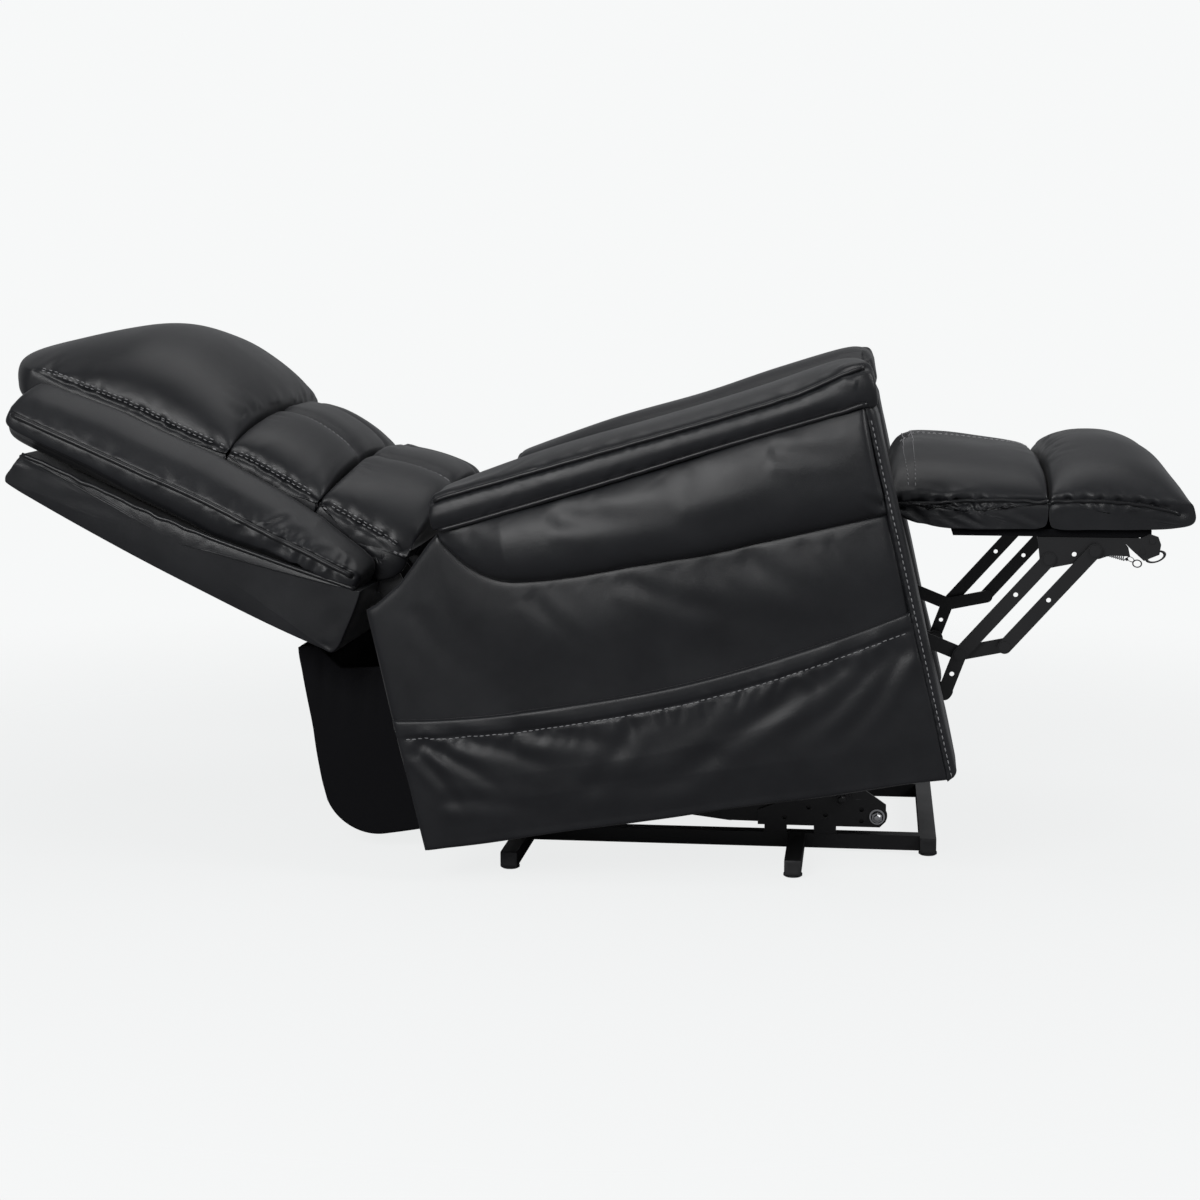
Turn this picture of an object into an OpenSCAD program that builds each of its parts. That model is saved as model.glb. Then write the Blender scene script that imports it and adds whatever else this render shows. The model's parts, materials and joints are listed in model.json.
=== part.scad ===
// Lift recliner chair, fully reclined with its footrest out.
// X points to the front, Y to the occupant's left, Z up; the floor is at Z = 0.

/* [Base] */
// Length of the floor frame over its front and rear tubes
base_len = 733; // [680:1:800]
// Width over the outer faces of the two side rails
base_w = 380; // [340:1:400]
// Width of a base tube
tube_w = 24; // [20:1:30]
// Height of a base tube
tube_h = 22; // [18:1:26]
// Wall of the steel tubes
tube_wall = 2; // [1.5:0.1:3]
// Reach of an outrigger tip from the middle of the chair
outrigger_reach = 355; // [300:1:380]
// Distance from the front tube's front face to the front outriggers
front_outrigger_back = 205; // [150:1:240]
// Distance from the front tube's front face to the rear outriggers
rear_outrigger_back = 611; // [560:1:650]
// Height of a floor glide below the tubes
glide_h = 5; // [4:0.5:12]
// Diameter of a floor glide
glide_d = 27; // [20:1:34]

/* [Lift linkage] */
// Length of a lower lift link between its pivots
lower_link_len = 218; // [200:1:230]
// Length of an upper lift link between its pivots
upper_link_len = 526.7; // [500:0.1:550]
// Thickness of the lift plates and links
link_t = 5; // [4:0.5:5.5]
// Width of a lift link
lift_link_w = 30; // [24:1:34]
// Diameter of a pivot bolt
bolt_d = 10; // [8:0.5:12]

/* [Actuators] */
// Diameter of an actuator's outer tube
actuator_tube_d = 30; // [26:1:36]
// Diameter of an actuator's push rod
rod_d = 20; // [16:1:22]
// Diameter of a motor can
motor_d = 44; // [36:1:50]
// Length of a motor can
motor_len = 110; // [90:1:130]

/* [Seat] */
// Length of a side panel along its bottom edge
body_len = 743; // [700:1:800]
// Overall width over the side panels
body_w = 890; // [840:1:960]
// Width of one arm
arm_w = 165; // [140:1:190]
// Height of an arm top at the front, above the body's bottom edge
arm_h = 585; // [560:1:610]
// Height of the seat's front edge above the body's bottom edge
seat_h = 455; // [435:1:470]
// Angle by which the body is tilted back
rest_tilt = 9.5; // [9:0.1:10]

/* [Back] */
// Length of the back cushions from the hinge to the top of the head
back_len = 670; // [640:1:700]
// Width of the back
back_w = 732; // [700:1:760]
// Angle of the back from upright, within the tilted body
rest_recline = 54.1; // [53:0.1:55]
// Depth of the padded outer shell at its bottom end
shell_depth = 101; // [90:1:110]

/* [Footrest] */
// Length of a front footrest link between its two fixed pivots
front_link_len = 161.3; // [156:0.1:166]
// Length of the long scissor links
scissor_len = 183.9; // [178:0.1:190]
// Thickness of a footrest link
strip_t = 4; // [3:0.5:4.5]
// Width of a footrest link
strip_w = 20; // [16:1:22]
// Diameter of a linkage rivet's shank
rivet_d = 8; // [6:0.5:9]
// Length of the footrest from its rear edge to its tip
footrest_len = 425; // [400:1:440]
// Thickness of the footrest at its middle
footrest_t = 112; // [100:1:120]

/* [Hidden] */

STEEL = "#1d1d1f";
ZINC = "#b9bcc0";
LEATHER = "#232427";
CLOTH = "#18181a";
TIMBER = "#c9a878";
PLASTIC = "#26272a";

// clearances
fit = 0.06;       // radial play of a pin in its bore
seat_gap = 0.3;   // between a soft piece and its neighbour, and at butted boards
open_play = 3.3;  // radial play at the pivots where a closed linkage is opened

// the chair's middle on X, measured from the lift frame's datum
origin_x = 110;

// base
base_front = 413;
base_rear = base_front - base_len;
rail_y = base_w / 2 - tube_w;
base_z = glide_h;
front_outrigger_x = base_front - front_outrigger_back;
rear_outrigger_x = base_front - rear_outrigger_back;
cross_over = 15;
corner_glide_y = base_w / 2 + 3;
outrigger_glide_in = 14;
rail_gap = 11;
riser_z = base_z + tube_h + rail_gap;

// planes of the lift parts, from the middle outwards
plate_y = base_w / 2 - 19;
lower_link_y = plate_y + 7;
riser_y = lower_link_y + 6;
upper_link_y = riser_y + 6;
bracket_y = plate_y - 11;

// lift pivots in the X-Z plane
G1 = [326, 54];
G2 = [273, 82];
C1 = G1 + polar(lower_link_len, 179.3);
C2 = G2 + polar(upper_link_len, 173.24);
T0 = [-250, 100];
lift_tail = [-205, 150];
lever_len = 140;
lift_eye = C1 + polar(lever_len, 114);
link_tube_x = C1[0] + 37;
frame_rear_tube = [T0[0] + 45, T0[1]];
frame_front_tube = [35, 88];
bolt_r = bolt_d / 2;
boss_r = lift_link_w / 2;
lift_act_y = -50;
rec_act_y = 50;
eye_t = 16;
lever_t = 5;
lever_gap = 3;

// body frame: its origin is the rear lower corner of the side panels
tilt_at = [60.4, 45.7];
inner_y = body_w / 2 - arm_w;
panel_y = body_w / 2;
front_lean = 36.6 / 519.5;
mech_y = inner_y - 29;
mech_t = 4;
plane_0 = mech_y - mech_t - 1;
plane_1 = mech_y + mech_t + 1;
bracket_plane = plane_1 + strip_t + 1;
plane_3 = bracket_plane + strip_t + 1;
plane_4 = plane_3 + strip_t + 1;
upright_t = 5;
hinge = [-28, 365];
P1 = [636.2, 225.1];
P2 = [619.4, 141.2];
front_link_dir = -31.34;
X = P1 + polar(front_link_len, front_link_dir);
Q = X + polar(63.84, 2.25);
R = X + polar(60, -119.47);
F1 = X + polar(scissor_len, 39.14);
F2 = F1 + (Q - X);
seat_front_tube_at = [560, 175];
seat_rear_tube_at = [100, 176];
seat_tube_d = 30;
rec_tail = [520, 150];
rec_lever_len = 70;
rec_eye = hinge + polar(rec_lever_len, 262);
box_rear = 90;
box_front = 640;
board_t = 16;
box_z0 = 190.2;
box_z1 = 330;
spring_t = 4;
cushion_z = box_z1 + spring_t + seat_gap;
panel_t = 15;
bulge_t = 12;
apron_x = -182;
apron_r = 80;
apron_top = 292;
cloth_t = 5;

// back frame: origin at the hinge, Z along the back, X out of its front
half_back = back_w / 2;
cushion_half = inner_y - 2;
shell_top = back_len - 124;
shell_low = 16;
shell_front = -38;
rail_t = 24;
rail_x = shell_front + seat_gap;
cushion_rear = rail_x + rail_t + seat_gap;
wing_in = inner_y - 2;

// footrest frame: origin at the first bracket rivet, level with the floor at rest
function in_pad_axes(d) = [d[0] * cos(rest_tilt) - d[1] * sin(rest_tilt), d[0] * sin(rest_tilt) + d[1] * cos(rest_tilt)];
lightening_r = 3.4;
pad_rear = -224;
pad_tip = pad_rear + footrest_len;
pad_low = 42;
pad_half = inner_y - 4;
roll_x = -2;
board_half = bracket_plane - 1;
rivet_r = rivet_d / 2;

// ---- functions ----
function polar(r, a) = [r * cos(a), r * sin(a)];
function front_x(z) = body_len - front_lean * z;

// closed smooth curve through the points p, n steps for each span
function spline_pt(a, b, c, d, t) =
    0.5 * (2 * b + (c - a) * t + (2 * a - 5 * b + 4 * c - d) * t * t + (3 * b - a - 3 * c + d) * t * t * t);
function smooth(p, n = 3) = let (m = len(p))
    [for (i = [0:m - 1], j = [0:n - 1])
        spline_pt(p[(i + m - 1) % m], p[i], p[(i + 1) % m], p[(i + 2) % m], j / n)];

// width factor of a crowned form: 1 in the middle, falling to low at its sides
function crown(u, low, power = 3) = low + (1 - low) * pow(1 - pow(abs(u), power), 1 / 2);

// a cushion lofted across Y: beyond its side seam, on axis k, the face swells to its full height in the middle,
// is held down along two sewn channels at y = -channel and channel, and elsewhere it keeps the profile
channel_w = 13;
channel_depth = 9;
seam_rise = 0.06;
function swollen(v, seam, s, dip) = v <= seam ? v : seam + (v - seam) * s - dip * min(1, (v - seam) / 40);
function cushion_ring(profile, k, seam, y, half, dip, drop) = let (s = crown(y / half, seam_rise, 2.4))
    [for (p = profile) k == 0
        ? [swollen(p[0], seam, s, dip), y, p[1] - drop * (1 - s) * max(0, min(1, (p[1] - 400) / 270))]
        : [p[0], y, swollen(p[1], seam, s, dip)]];
function side_stations(half, steps) = [for (i = [0:steps]) half * sin(-90 + 180 * i / steps)];
function channel_stations(half, c) = let (out = [-half, -0.96 * half, -0.85 * half, -0.6 * half],
    near = [-c - 2 * channel_w, -c - channel_w, -c, -c + channel_w, -c + 2.4 * channel_w])
    concat(out, near, [0], [for (i = [len(near) - 1:-1:0]) -near[i]], [for (i = [len(out) - 1:-1:0]) -out[i]]);
function cushion_rings(profile, k, seam, half, steps, channel = 0, drop = 0) =
    let (ys = channel > 0 ? channel_stations(half, channel) : side_stations(half, steps))
    [for (y = ys) let (d = (abs(y) - channel) / channel_w)
        cushion_ring(profile, k, seam, y, half, channel > 0 ? channel_depth * exp(-d * d) : 0, drop)];

function centre(ring) = [for (k = [0:2]) let (v = [for (p = ring) p[k]]) (min(v) + max(v)) / 2];

// ---- building blocks ----
// closed skin over rings of points, each ring anticlockwise as seen along the loft
module loft(rings) {
    n = len(rings[0]);
    m = len(rings);
    points = [for (r = rings, p = r) p];
    ends = [centre(rings[0]), centre(rings[m - 1])];
    skin = [for (i = [0:m - 2], j = [0:n - 1]) let (a = i * n + j, b = i * n + (j + 1) % n)
        each [[a, b, b + n], [a, b + n, a + n]]];
    low_cap = [for (j = [0:n - 1]) [m * n, (j + 1) % n, j]];
    high_cap = [for (j = [0:n - 1]) [m * n + 1, (m - 1) * n + j, (m - 1) * n + (j + 1) % n]];
    polyhedron(concat(points, ends), concat(skin, low_cap, high_cap), convexity = 6);
}

// the space above a level z0, or between z0 and z1, and in front of x0
module above(z0, z1 = 2000, x0 = -2000) {
    translate([x0, -2000, z0]) cube([4000, 4000, z1 - z0]);
}

module both_sides() {
    children();
    mirror([0, 1, 0]) children();
}

// a flat shape in the X-Z plane, standing from y to y + t
module plate(y, t) {
    translate([0, y + t, 0]) rotate([90, 0, 0]) linear_extrude(t) children();
}

// a bar outline with round ends, its sides a hair inside them so that they cross and don't just touch
side_inset = 0.05;
module bar(a, b, w) {
    d = b - a;
    side = w / 2 - side_inset;
    translate(a) circle(d = w, $fn = 32);
    translate(b) circle(d = w, $fn = 32);
    translate(a) rotate(atan2(d[1], d[0])) translate([0, -side]) square([norm(d), 2 * side]);
}

module hole(p, r) {
    translate(p) circle(r, $fn = 48);
}

module rod_y(p, y0, y1, r) {
    translate([p[0], y0, p[1]]) rotate([-90, 0, 0]) cylinder(r = r, h = y1 - y0, $fn = 48);
}

// a pin with a low round head at each end
module headed_pin(p, y0, y1, r, head_r, head_t) {
    rod_y(p, y0, y1, r);
    rod_y(p, y1, y1 + head_t, head_r);
    rod_y(p, y0 - head_t, y0, head_r);
}

module tube_x(x0, x1, y, z) {
    translate([x0, y, z]) difference() {
        cube([x1 - x0, tube_w, tube_h]);
        translate([-1, tube_wall, tube_wall]) cube([x1 - x0 + 2, tube_w - 2 * tube_wall, tube_h - 2 * tube_wall]);
    }
}

module tube_y(x, y0, y1, z) {
    translate([x, y0, z]) difference() {
        cube([tube_w, y1 - y0, tube_h]);
        translate([tube_wall, -1, tube_wall]) cube([tube_w - 2 * tube_wall, y1 - y0 + 2, tube_h - 2 * tube_wall]);
    }
}

module round_tube_y(p, y0, y1, d) {
    difference() {
        rod_y(p, y0, y1, d / 2);
        rod_y(p, y0 - 1, y1 + 1, d / 2 - tube_wall);
    }
}

// ---- the three tilted frames ----
module in_base() {
    translate([origin_x, 0, 0]) children();
}

module in_body() {
    in_base() translate([T0[0], 0, T0[1]]) rotate([0, -rest_tilt, 0])
        translate([-tilt_at[0], 0, -tilt_at[1]]) children();
}

module in_back() {
    in_body() translate([hinge[0], 0, hinge[1]]) rotate([0, -rest_recline, 0]) children();
}

module in_pad() {
    in_body() translate([F1[0], 0, F1[1]]) rotate([0, rest_tilt, 0]) children();
}

// ---- base ----
module base_rails() {
    color(STEEL) in_base() both_sides() tube_x(base_rear + tube_w, base_front - tube_w, rail_y, base_z);
}

module front_cross_tube() {
    color(STEEL) in_base() tube_y(base_front - tube_w, -base_w / 2 - cross_over, base_w / 2 + cross_over, base_z);
}

module rear_cross_tube() {
    color(STEEL) in_base() tube_y(base_rear, -base_w / 2 - cross_over, base_w / 2 + cross_over, base_z);
}

module outrigger(x) {
    color(STEEL) in_base() both_sides() tube_y(x - tube_w / 2, base_w / 2, outrigger_reach, base_z);
}

module front_outriggers() outrigger(front_outrigger_x);

module rear_outriggers() outrigger(rear_outrigger_x);

// places of the six glides on one side of the chair and the other
module at_glides() {
    tip = outrigger_reach - outrigger_glide_in;
    for (p = [[base_front - tube_w / 2, corner_glide_y], [front_outrigger_x, tip], [rear_outrigger_x, tip]],
         s = [-1, 1])
        translate([p[0], s * p[1], 0]) children();
}

glide_foot_h = 2;
module glide_cups() {
    color(PLASTIC) in_base() at_glides() translate([0, 0, glide_foot_h])
        cylinder(d = glide_d, h = glide_h - glide_foot_h, $fn = 48);
}

module glide_feet() {
    color(ZINC) in_base() at_glides()
        rotate_extrude($fn = 48) polygon([[0, 0], [glide_d / 2 - 5, 0], [glide_d / 2 - 2, 0.7],
            [glide_d / 2 - 1, glide_foot_h], [0, glide_foot_h]]);
}

riser_rear = 150;
riser_front = 339;
riser_chamfer = 9;
module riser_outline() {
    top = G2[1] + boss_r + 2;
    polygon([[riser_rear, riser_z], [riser_front - riser_chamfer, riser_z], [riser_front, riser_z + riser_chamfer],
        [riser_front, G1[1] + boss_r + 3], [G2[0] + boss_r + 12, top], [G2[0] - boss_r - 10, top],
        [riser_rear, riser_z + 22]]);
}

riser_holes = [[303, 47], [303, 64], [250, 55], [225, 66], [190, 50]];
module riser_plates() {
    color(STEEL) in_base() both_sides() plate(riser_y, link_t) difference() {
        riser_outline();
        for (p = [G1, G2]) hole(p, bolt_r + fit);
        for (p = riser_holes) hole(p, 3.5);
    }
}

module riser_blocks() {
    color(STEEL) in_base() both_sides() for (x = [233, 160])
        translate([x, riser_y - 4, base_z + tube_h]) cube([33, link_t + 4, rail_gap]);
}

module lift_pivot_bolts() {
    color(ZINC) in_base() both_sides() {
        headed_pin(G1, lower_link_y - 0.5, riser_y + link_t + 0.3, bolt_r, 9, 4);
        rod_y(G2, riser_y - 0.3, upper_link_y + link_t + 0.3, bolt_r);
        rod_y(G2, upper_link_y + link_t + 0.3, upper_link_y + link_t + 3.3, 8);
    }
}

// ---- lift linkage ----
module lower_lift_links() {
    color(STEEL) in_base() both_sides() plate(lower_link_y, link_t) difference() {
        bar(G1, C1, lift_link_w);
        for (p = [G1, C1]) hole(p, bolt_r + fit);
    }
}

module lift_link_tube() {
    color(STEEL) in_base() round_tube_y([link_tube_x, C1[1]], -lower_link_y, lower_link_y, 25);
}

module lift_levers() {
    color(STEEL) in_base() translate([0, lift_act_y, 0]) {
        both_sides() plate(eye_t / 2 + lever_gap, lever_t) difference() {
            union() {
                bar([link_tube_x, C1[1]], lift_eye, 26);
                translate([link_tube_x, C1[1]]) circle(19, $fn = 48);
            }
            hole([link_tube_x, C1[1]], 12.5);
        }
        rod_y(lift_eye, -eye_t / 2 - lever_gap, eye_t / 2 + lever_gap, bolt_r);
    }
}

module upper_lift_links() {
    color(STEEL) in_base() both_sides() plate(upper_link_y, link_t) difference() {
        bar(G2, C2, lift_link_w);
        hole(G2, bolt_r + fit);
        hole(C2, bolt_r + 1);
    }
}

module lift_frame_plates() {
    color(STEEL) in_base() both_sides() plate(plate_y, link_t) difference() {
        union() {
            bar(C1, T0, 34);
            bar(T0, C2, 36);
            bar(C2, [C2[0] + 150, T0[1] - 8], 20);
        }
        hole(frame_rear_tube, 14);
        hole(frame_front_tube, 13);
    }
}

module lift_frame_rear_tube() {
    color(STEEL) in_base() {
        difference() {
            rod_y(frame_rear_tube, -plate_y - link_t, plate_y + link_t, 14);
            rod_y(frame_rear_tube, -plate_y - link_t - 1, plate_y + link_t + 1, 14 - tube_wall);
        }
        translate([0, lift_act_y, 0]) clevis(frame_rear_tube, lift_tail, 14);
    }
}

module lift_frame_front_tube() {
    color(STEEL) in_base() round_tube_y(frame_front_tube, -plate_y - link_t, plate_y + link_t, 26);
}

// two ears round a tube of radius tube_r, carrying a cross pin at p
module clevis(at, p, tube_r) {
    both_sides() plate(eye_t / 2 + lever_gap, lever_t) difference() {
        union() {
            bar(at, p, 24);
            translate(at) circle(tube_r + 5, $fn = 48);
        }
        hole(at, tube_r - 0.5);
    }
    rod_y(p, -eye_t / 2 - lever_gap, eye_t / 2 + lever_gap, bolt_r);
}

module lift_frame_pins() {
    color(ZINC) in_base() both_sides() {
        rod_y(C1, plate_y + link_t, lower_link_y + link_t + 0.3, bolt_r);
        rod_y(C1, lower_link_y + link_t + 0.3, lower_link_y + link_t + 0.7, bolt_r + 1);
        rod_y(C2, plate_y + link_t, upper_link_y + link_t + 0.5, bolt_r);
        rod_y(C2, upper_link_y + link_t + 0.5, upper_link_y + link_t + 3, bolt_r + 4);
        rod_y(T0, bracket_y - 0.5, plate_y, bolt_r);
        rod_y(T0, bracket_y - 3.5, bracket_y - 0.5, bolt_r + 3);
    }
}

// ---- actuators: tail eye at the origin, rod along +X ----
module along(from, to) {
    d = to - from;
    translate([from[0], 0, from[1]]) rotate([0, -atan2(d[1], d[0]), 0]) children();
}

gearbox_len = 58;
module actuator_housing() {
    difference() {
        union() {
            rod_y([0, 0], -eye_t / 2, eye_t / 2, 12);
            translate([0, -eye_t / 2, -9]) cube([gearbox_len / 2, eye_t, 18]);
            translate([20, -22, -24]) cube([gearbox_len, 44, 48]);
        }
        rod_y([0, 0], -eye_t, eye_t, bolt_r + fit);
    }
    translate([20 + gearbox_len, 0, 0]) rotate([0, 90, 0]) cylinder(r = actuator_tube_d / 2 + 4, h = 12, $fn = 48);
}

module motor_can() {
    translate([20 + gearbox_len, 0, -24 - motor_d / 2 + 8]) rotate([0, 90, 0])
        cylinder(d = motor_d, h = motor_len - 10, $fn = 48);
    translate([20 + gearbox_len / 2, 0, -24 - motor_d / 2 + 8]) rotate([0, 90, 0])
        cylinder(d = motor_d - 6, h = motor_len, $fn = 48);
}

module actuator_tube(len) {
    translate([90 + seat_gap, 0, 0]) rotate([0, 90, 0]) difference() {
        cylinder(d = actuator_tube_d, h = len - 90, $fn = 48);
        translate([0, 0, 4]) cylinder(r = rod_d / 2 + fit, h = len, $fn = 48);
    }
}

module actuator_rod(start, len) {
    difference() {
        union() {
            translate([start, 0, 0]) rotate([0, 90, 0]) cylinder(d = rod_d, h = len - start - 8, $fn = 48);
            rod_y([len, 0], -eye_t / 2, eye_t / 2, 14);
        }
        rod_y([len, 0], -eye_t, eye_t, bolt_r + open_play);
    }
}

lift_act_len = norm(lift_eye - lift_tail);
module lift_motor() {
    color(PLASTIC) in_base() translate([0, lift_act_y, 0]) along(lift_tail, lift_eye) {
        actuator_housing();
        motor_can();
    }
}

module lift_actuator_tube() {
    color(STEEL) in_base() translate([0, lift_act_y, 0]) along(lift_tail, lift_eye)
        actuator_tube(lift_act_len - 32);
}

module lift_actuator_rod() {
    color(ZINC) in_base() translate([0, lift_act_y, 0]) along(lift_tail, lift_eye)
        actuator_rod(lift_act_len - 145, lift_act_len);
}

rec_act_len = norm(rec_eye - rec_tail);
module recline_motor() {
    color(PLASTIC) in_body() translate([0, rec_act_y, 0]) along(rec_tail, rec_eye) {
        actuator_housing();
        mirror([0, 0, 1]) motor_can();
    }
}

module recline_actuator_tube() {
    color(STEEL) in_body() translate([0, rec_act_y, 0]) along(rec_tail, rec_eye)
        actuator_tube(rec_act_len - 120);
}

module recline_actuator_rod() {
    color(ZINC) in_body() translate([0, rec_act_y, 0]) along(rec_tail, rec_eye)
        actuator_rod(rec_act_len - 300, rec_act_len);
}

// ---- seat mechanism ----
module mechanism_plates() {
    color(STEEL) in_body() both_sides() plate(mech_y, mech_t) difference() {
        union() {
            bar([20, 150], [600, 150], 50);
            bar([590, 150], P2, 44);
            bar(P2 + [-22, 14], P1, 26);
            bar([540, 160], P1, 26);
        }
        hole(seat_front_tube_at, seat_tube_d / 2);
        for (x = [130:60:500]) hole([x, 145], 5);
    }
}

module back_uprights() {
    color(STEEL) in_body() both_sides() {
        plate(mech_y - upright_t, upright_t) difference() {
            bar([42, 150], hinge, 40);
            hole(hinge, bolt_r + fit);
        }
    }
}

module seat_front_tube() {
    color(STEEL) in_body() {
        round_tube_y(seat_front_tube_at, -mech_y - mech_t, mech_y + mech_t, seat_tube_d);
        translate([0, rec_act_y, 0]) clevis(seat_front_tube_at, rec_tail, seat_tube_d / 2);
    }
}

module seat_rear_tube() {
    color(STEEL) in_body() round_tube_y(seat_rear_tube_at, -mech_y, mech_y, 28);
}

module tilt_brackets() {
    color(STEEL) in_body() both_sides() plate(bracket_y, 4) difference() {
        bar(tilt_at, seat_rear_tube_at, 32);
        hole(tilt_at, bolt_r + fit);
        hole(seat_rear_tube_at, 14);
    }
}

module footrest_studs() {
    color(ZINC) in_body() both_sides() {
        rod_y(P1, mech_y + mech_t, plane_1 + strip_t + 0.3, rivet_r);
        rod_y(P1, plane_1 + strip_t + 0.3, plane_1 + strip_t + 0.9, rivet_r + 3);
        rod_y(P2, plane_0 - strip_t - 0.3, mech_y, rivet_r);
        rod_y(P2, plane_0 - strip_t - 2.3, plane_0 - strip_t - 0.3, rivet_r + 4);
    }
}

module seat_box_boards() {
    side_y = mech_y - upright_t - board_t;
    color(TIMBER) in_body() {
        both_sides() translate([box_rear, side_y, box_z0]) cube([box_front - box_rear, board_t, box_z1 - box_z0]);
        for (b = [[box_front - board_t, box_z0], [box_rear, box_z1 - 38]])
            translate([b[0], -side_y + seat_gap, b[1]]) cube([board_t, 2 * (side_y - seat_gap), box_z1 - b[1]]);
    }
}

spring_count = 5;
spring_loops = 10;
spring_w = 44;
module seat_springs() {
    start = box_rear + board_t;
    pitch = (box_front - board_t - start) / spring_loops;
    r = pitch / 2;
    leg = spring_w / 2 - r / 2;
    color(ZINC) in_body() for (i = [0:spring_count - 1])
        translate([start, (i - (spring_count - 1) / 2) * 88, box_z1]) linear_extrude(spring_t) {
            for (k = [0:spring_loops - 1]) let (s = k % 2 == 0 ? 1 : -1)
                translate([(k + 0.5) * pitch, s * leg]) intersection() {
                    difference() {
                        circle(r + spring_t / 2, $fn = 24);
                        circle(r - spring_t / 2, $fn = 24);
                    }
                    translate([-pitch, s > 0 ? 0 : -pitch]) square([2 * pitch, pitch]);
                }
            for (k = [1:spring_loops - 1])
                translate([k * pitch - spring_t / 2, -leg]) square([spring_t, 2 * leg]);
            for (k = [0, spring_loops]) {
                s = k == 0 ? 1 : -1;
                translate([k * pitch - spring_t / 2, min(0, s * leg)]) square([spring_t, leg]);
                translate([k == 0 ? -12 : k * pitch, -spring_t / 2]) square([12, spring_t]);
            }
        }
}

seat_seam = 405;
module seat_cushion() {
    front = front_x(seat_h) - 6;
    profile = smooth([[70, cushion_z], [300, cushion_z], [500, cushion_z], [620, cushion_z],
        [front - 56, cushion_z + 7], [front - 38, seat_h - 78], [front - 17, seat_h - 46],
        [front - 22, seat_h - 15], [front - 72, seat_h],
        [540, seat_h - 6], [360, seat_h - 20], [230, seat_h - 28], [165, seat_h - 50], [110, seat_h - 84],
        [60, seat_h - 92]], 3);
    color(LEATHER) in_body() intersection() {
        loft(cushion_rings(profile, 1, seat_seam, cushion_half, 12));
        above(cushion_z);
    }
}

module arm_brackets() {
    color(STEEL) in_body() both_sides() {
        translate([60, mech_y + mech_t, 128]) cube([40, inner_y - mech_y - mech_t, 40]);
        translate([470, mech_y + mech_t, 128]) cube([30, inner_y - mech_y - mech_t, 40]);
    }
}

// ---- arms ----
arm_out = inner_y + panel_t;
timber_w = 26;
posts = [30, 360, 668];
module arm_frames() {
    color(TIMBER) in_body() both_sides() translate([0, arm_out, 0]) {
        w = panel_y - panel_t - arm_out;
        top = 425;
        for (x = posts) translate([x, seat_gap, 40])
            cube([timber_w, w - 2 * seat_gap, (x == posts[0] ? 330 : top - 40 - seat_gap)]);
        for (i = [0, 1]) translate([posts[i] + timber_w + seat_gap, seat_gap, 40])
            cube([posts[i + 1] - posts[i] - timber_w - 2 * seat_gap, w - 2 * seat_gap, 40]);
        translate([130, seat_gap, top]) cube([posts[2] + timber_w - 130, w - 2 * seat_gap, 18]);
    }
}

// outline of an arm seen from its side, up to the height of the pad's lower seam
arm_top = [[94, 440], [400, 478], [front_x(arm_h - 62), arm_h - 62]];
module arm_outline() {
    corner = 14;
    polygon(concat([[0, 0]], [for (a = [-90:15:0]) [body_len - corner, corner] + polar(corner, a)],
        [for (i = [2:-1:0]) arm_top[i]], [[80, 425], [30, 376], [-8, 352], [-23, 346]]));
}

module arm_inner_panels() {
    color(LEATHER) in_body() both_sides() plate(inner_y, panel_t) intersection() {
        arm_outline();
        translate([0, 0]) square([front_x(arm_h) - 16, arm_h]);
    }
}

// curved seam between the flat lower panel and the fuller upper one
seam = [[94, 436], [104, 420], [130, 388], [165, 364], [210, 355], [300, 353], [450, 357], [600, 364]];
module side_panels() {
    color(LEATHER) in_body() both_sides() plate(panel_y - panel_t, panel_t) intersection() {
        arm_outline();
        polygon(concat([[-60, -10], [front_x(0) - 12, -10], [front_x(372) - 12, 372]],
            [for (i = [len(seam) - 1:-1:0]) seam[i]], [[60, 470], [-60, 470]]));
    }
}

module upper_side_panels() {
    xs = [for (i = [0:12]) 106 + (front_x(520) - 14 - 106) * i / 12];
    color(LEATHER) in_body() both_sides() loft([for (x = xs) let (
        lo = lookup(x, seam_table()) + 1.5, hi = lookup(x, arm_top) - 1, h = hi - lo,
        out = bulge_t * min(1, h / 60)) [
            [x, panel_y - panel_t, lo], [x, panel_y - panel_t, hi], [x, panel_y - 4, hi],
            [x, panel_y + out * 0.5, hi - h * 0.12], [x, panel_y + out, hi - h * 0.4],
            [x, panel_y + out, hi - h * 0.65], [x, panel_y + out * 0.4, hi - h * 0.9], [x, panel_y - 4, lo]]]);
}
function seam_table() = concat(seam, [[front_x(372), 372]]);

hem = [[-10, 186], [60, 184], [167, 178], [300, 179], [420, 186], [560, 206], [700, 238], [740, 250]];
module pocket_panels() {
    skin = 6;
    color(LEATHER) in_body() both_sides() plate(panel_y, skin) intersection() {
        polygon(concat([[-14, 2], [front_x(0) - 16, 2], [front_x(240) - 16, 240]],
            [for (i = [len(hem) - 2:-1:0]) hem[i]]));
        polygon([[2, 0], [body_len - 16, 2], [front_x(260) - 16, 260], [-15, 260]]);
    }
}

module arm_front_bands() {
    color(LEATHER) in_body() both_sides() plate(inner_y + panel_t, arm_w - panel_t) difference() {
        arm_outline();
        polygon([[-60, -20], [front_x(-20) - 12, -20], [front_x(arm_h) - 12, arm_h], [-60, arm_h]]);
    }
}

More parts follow.
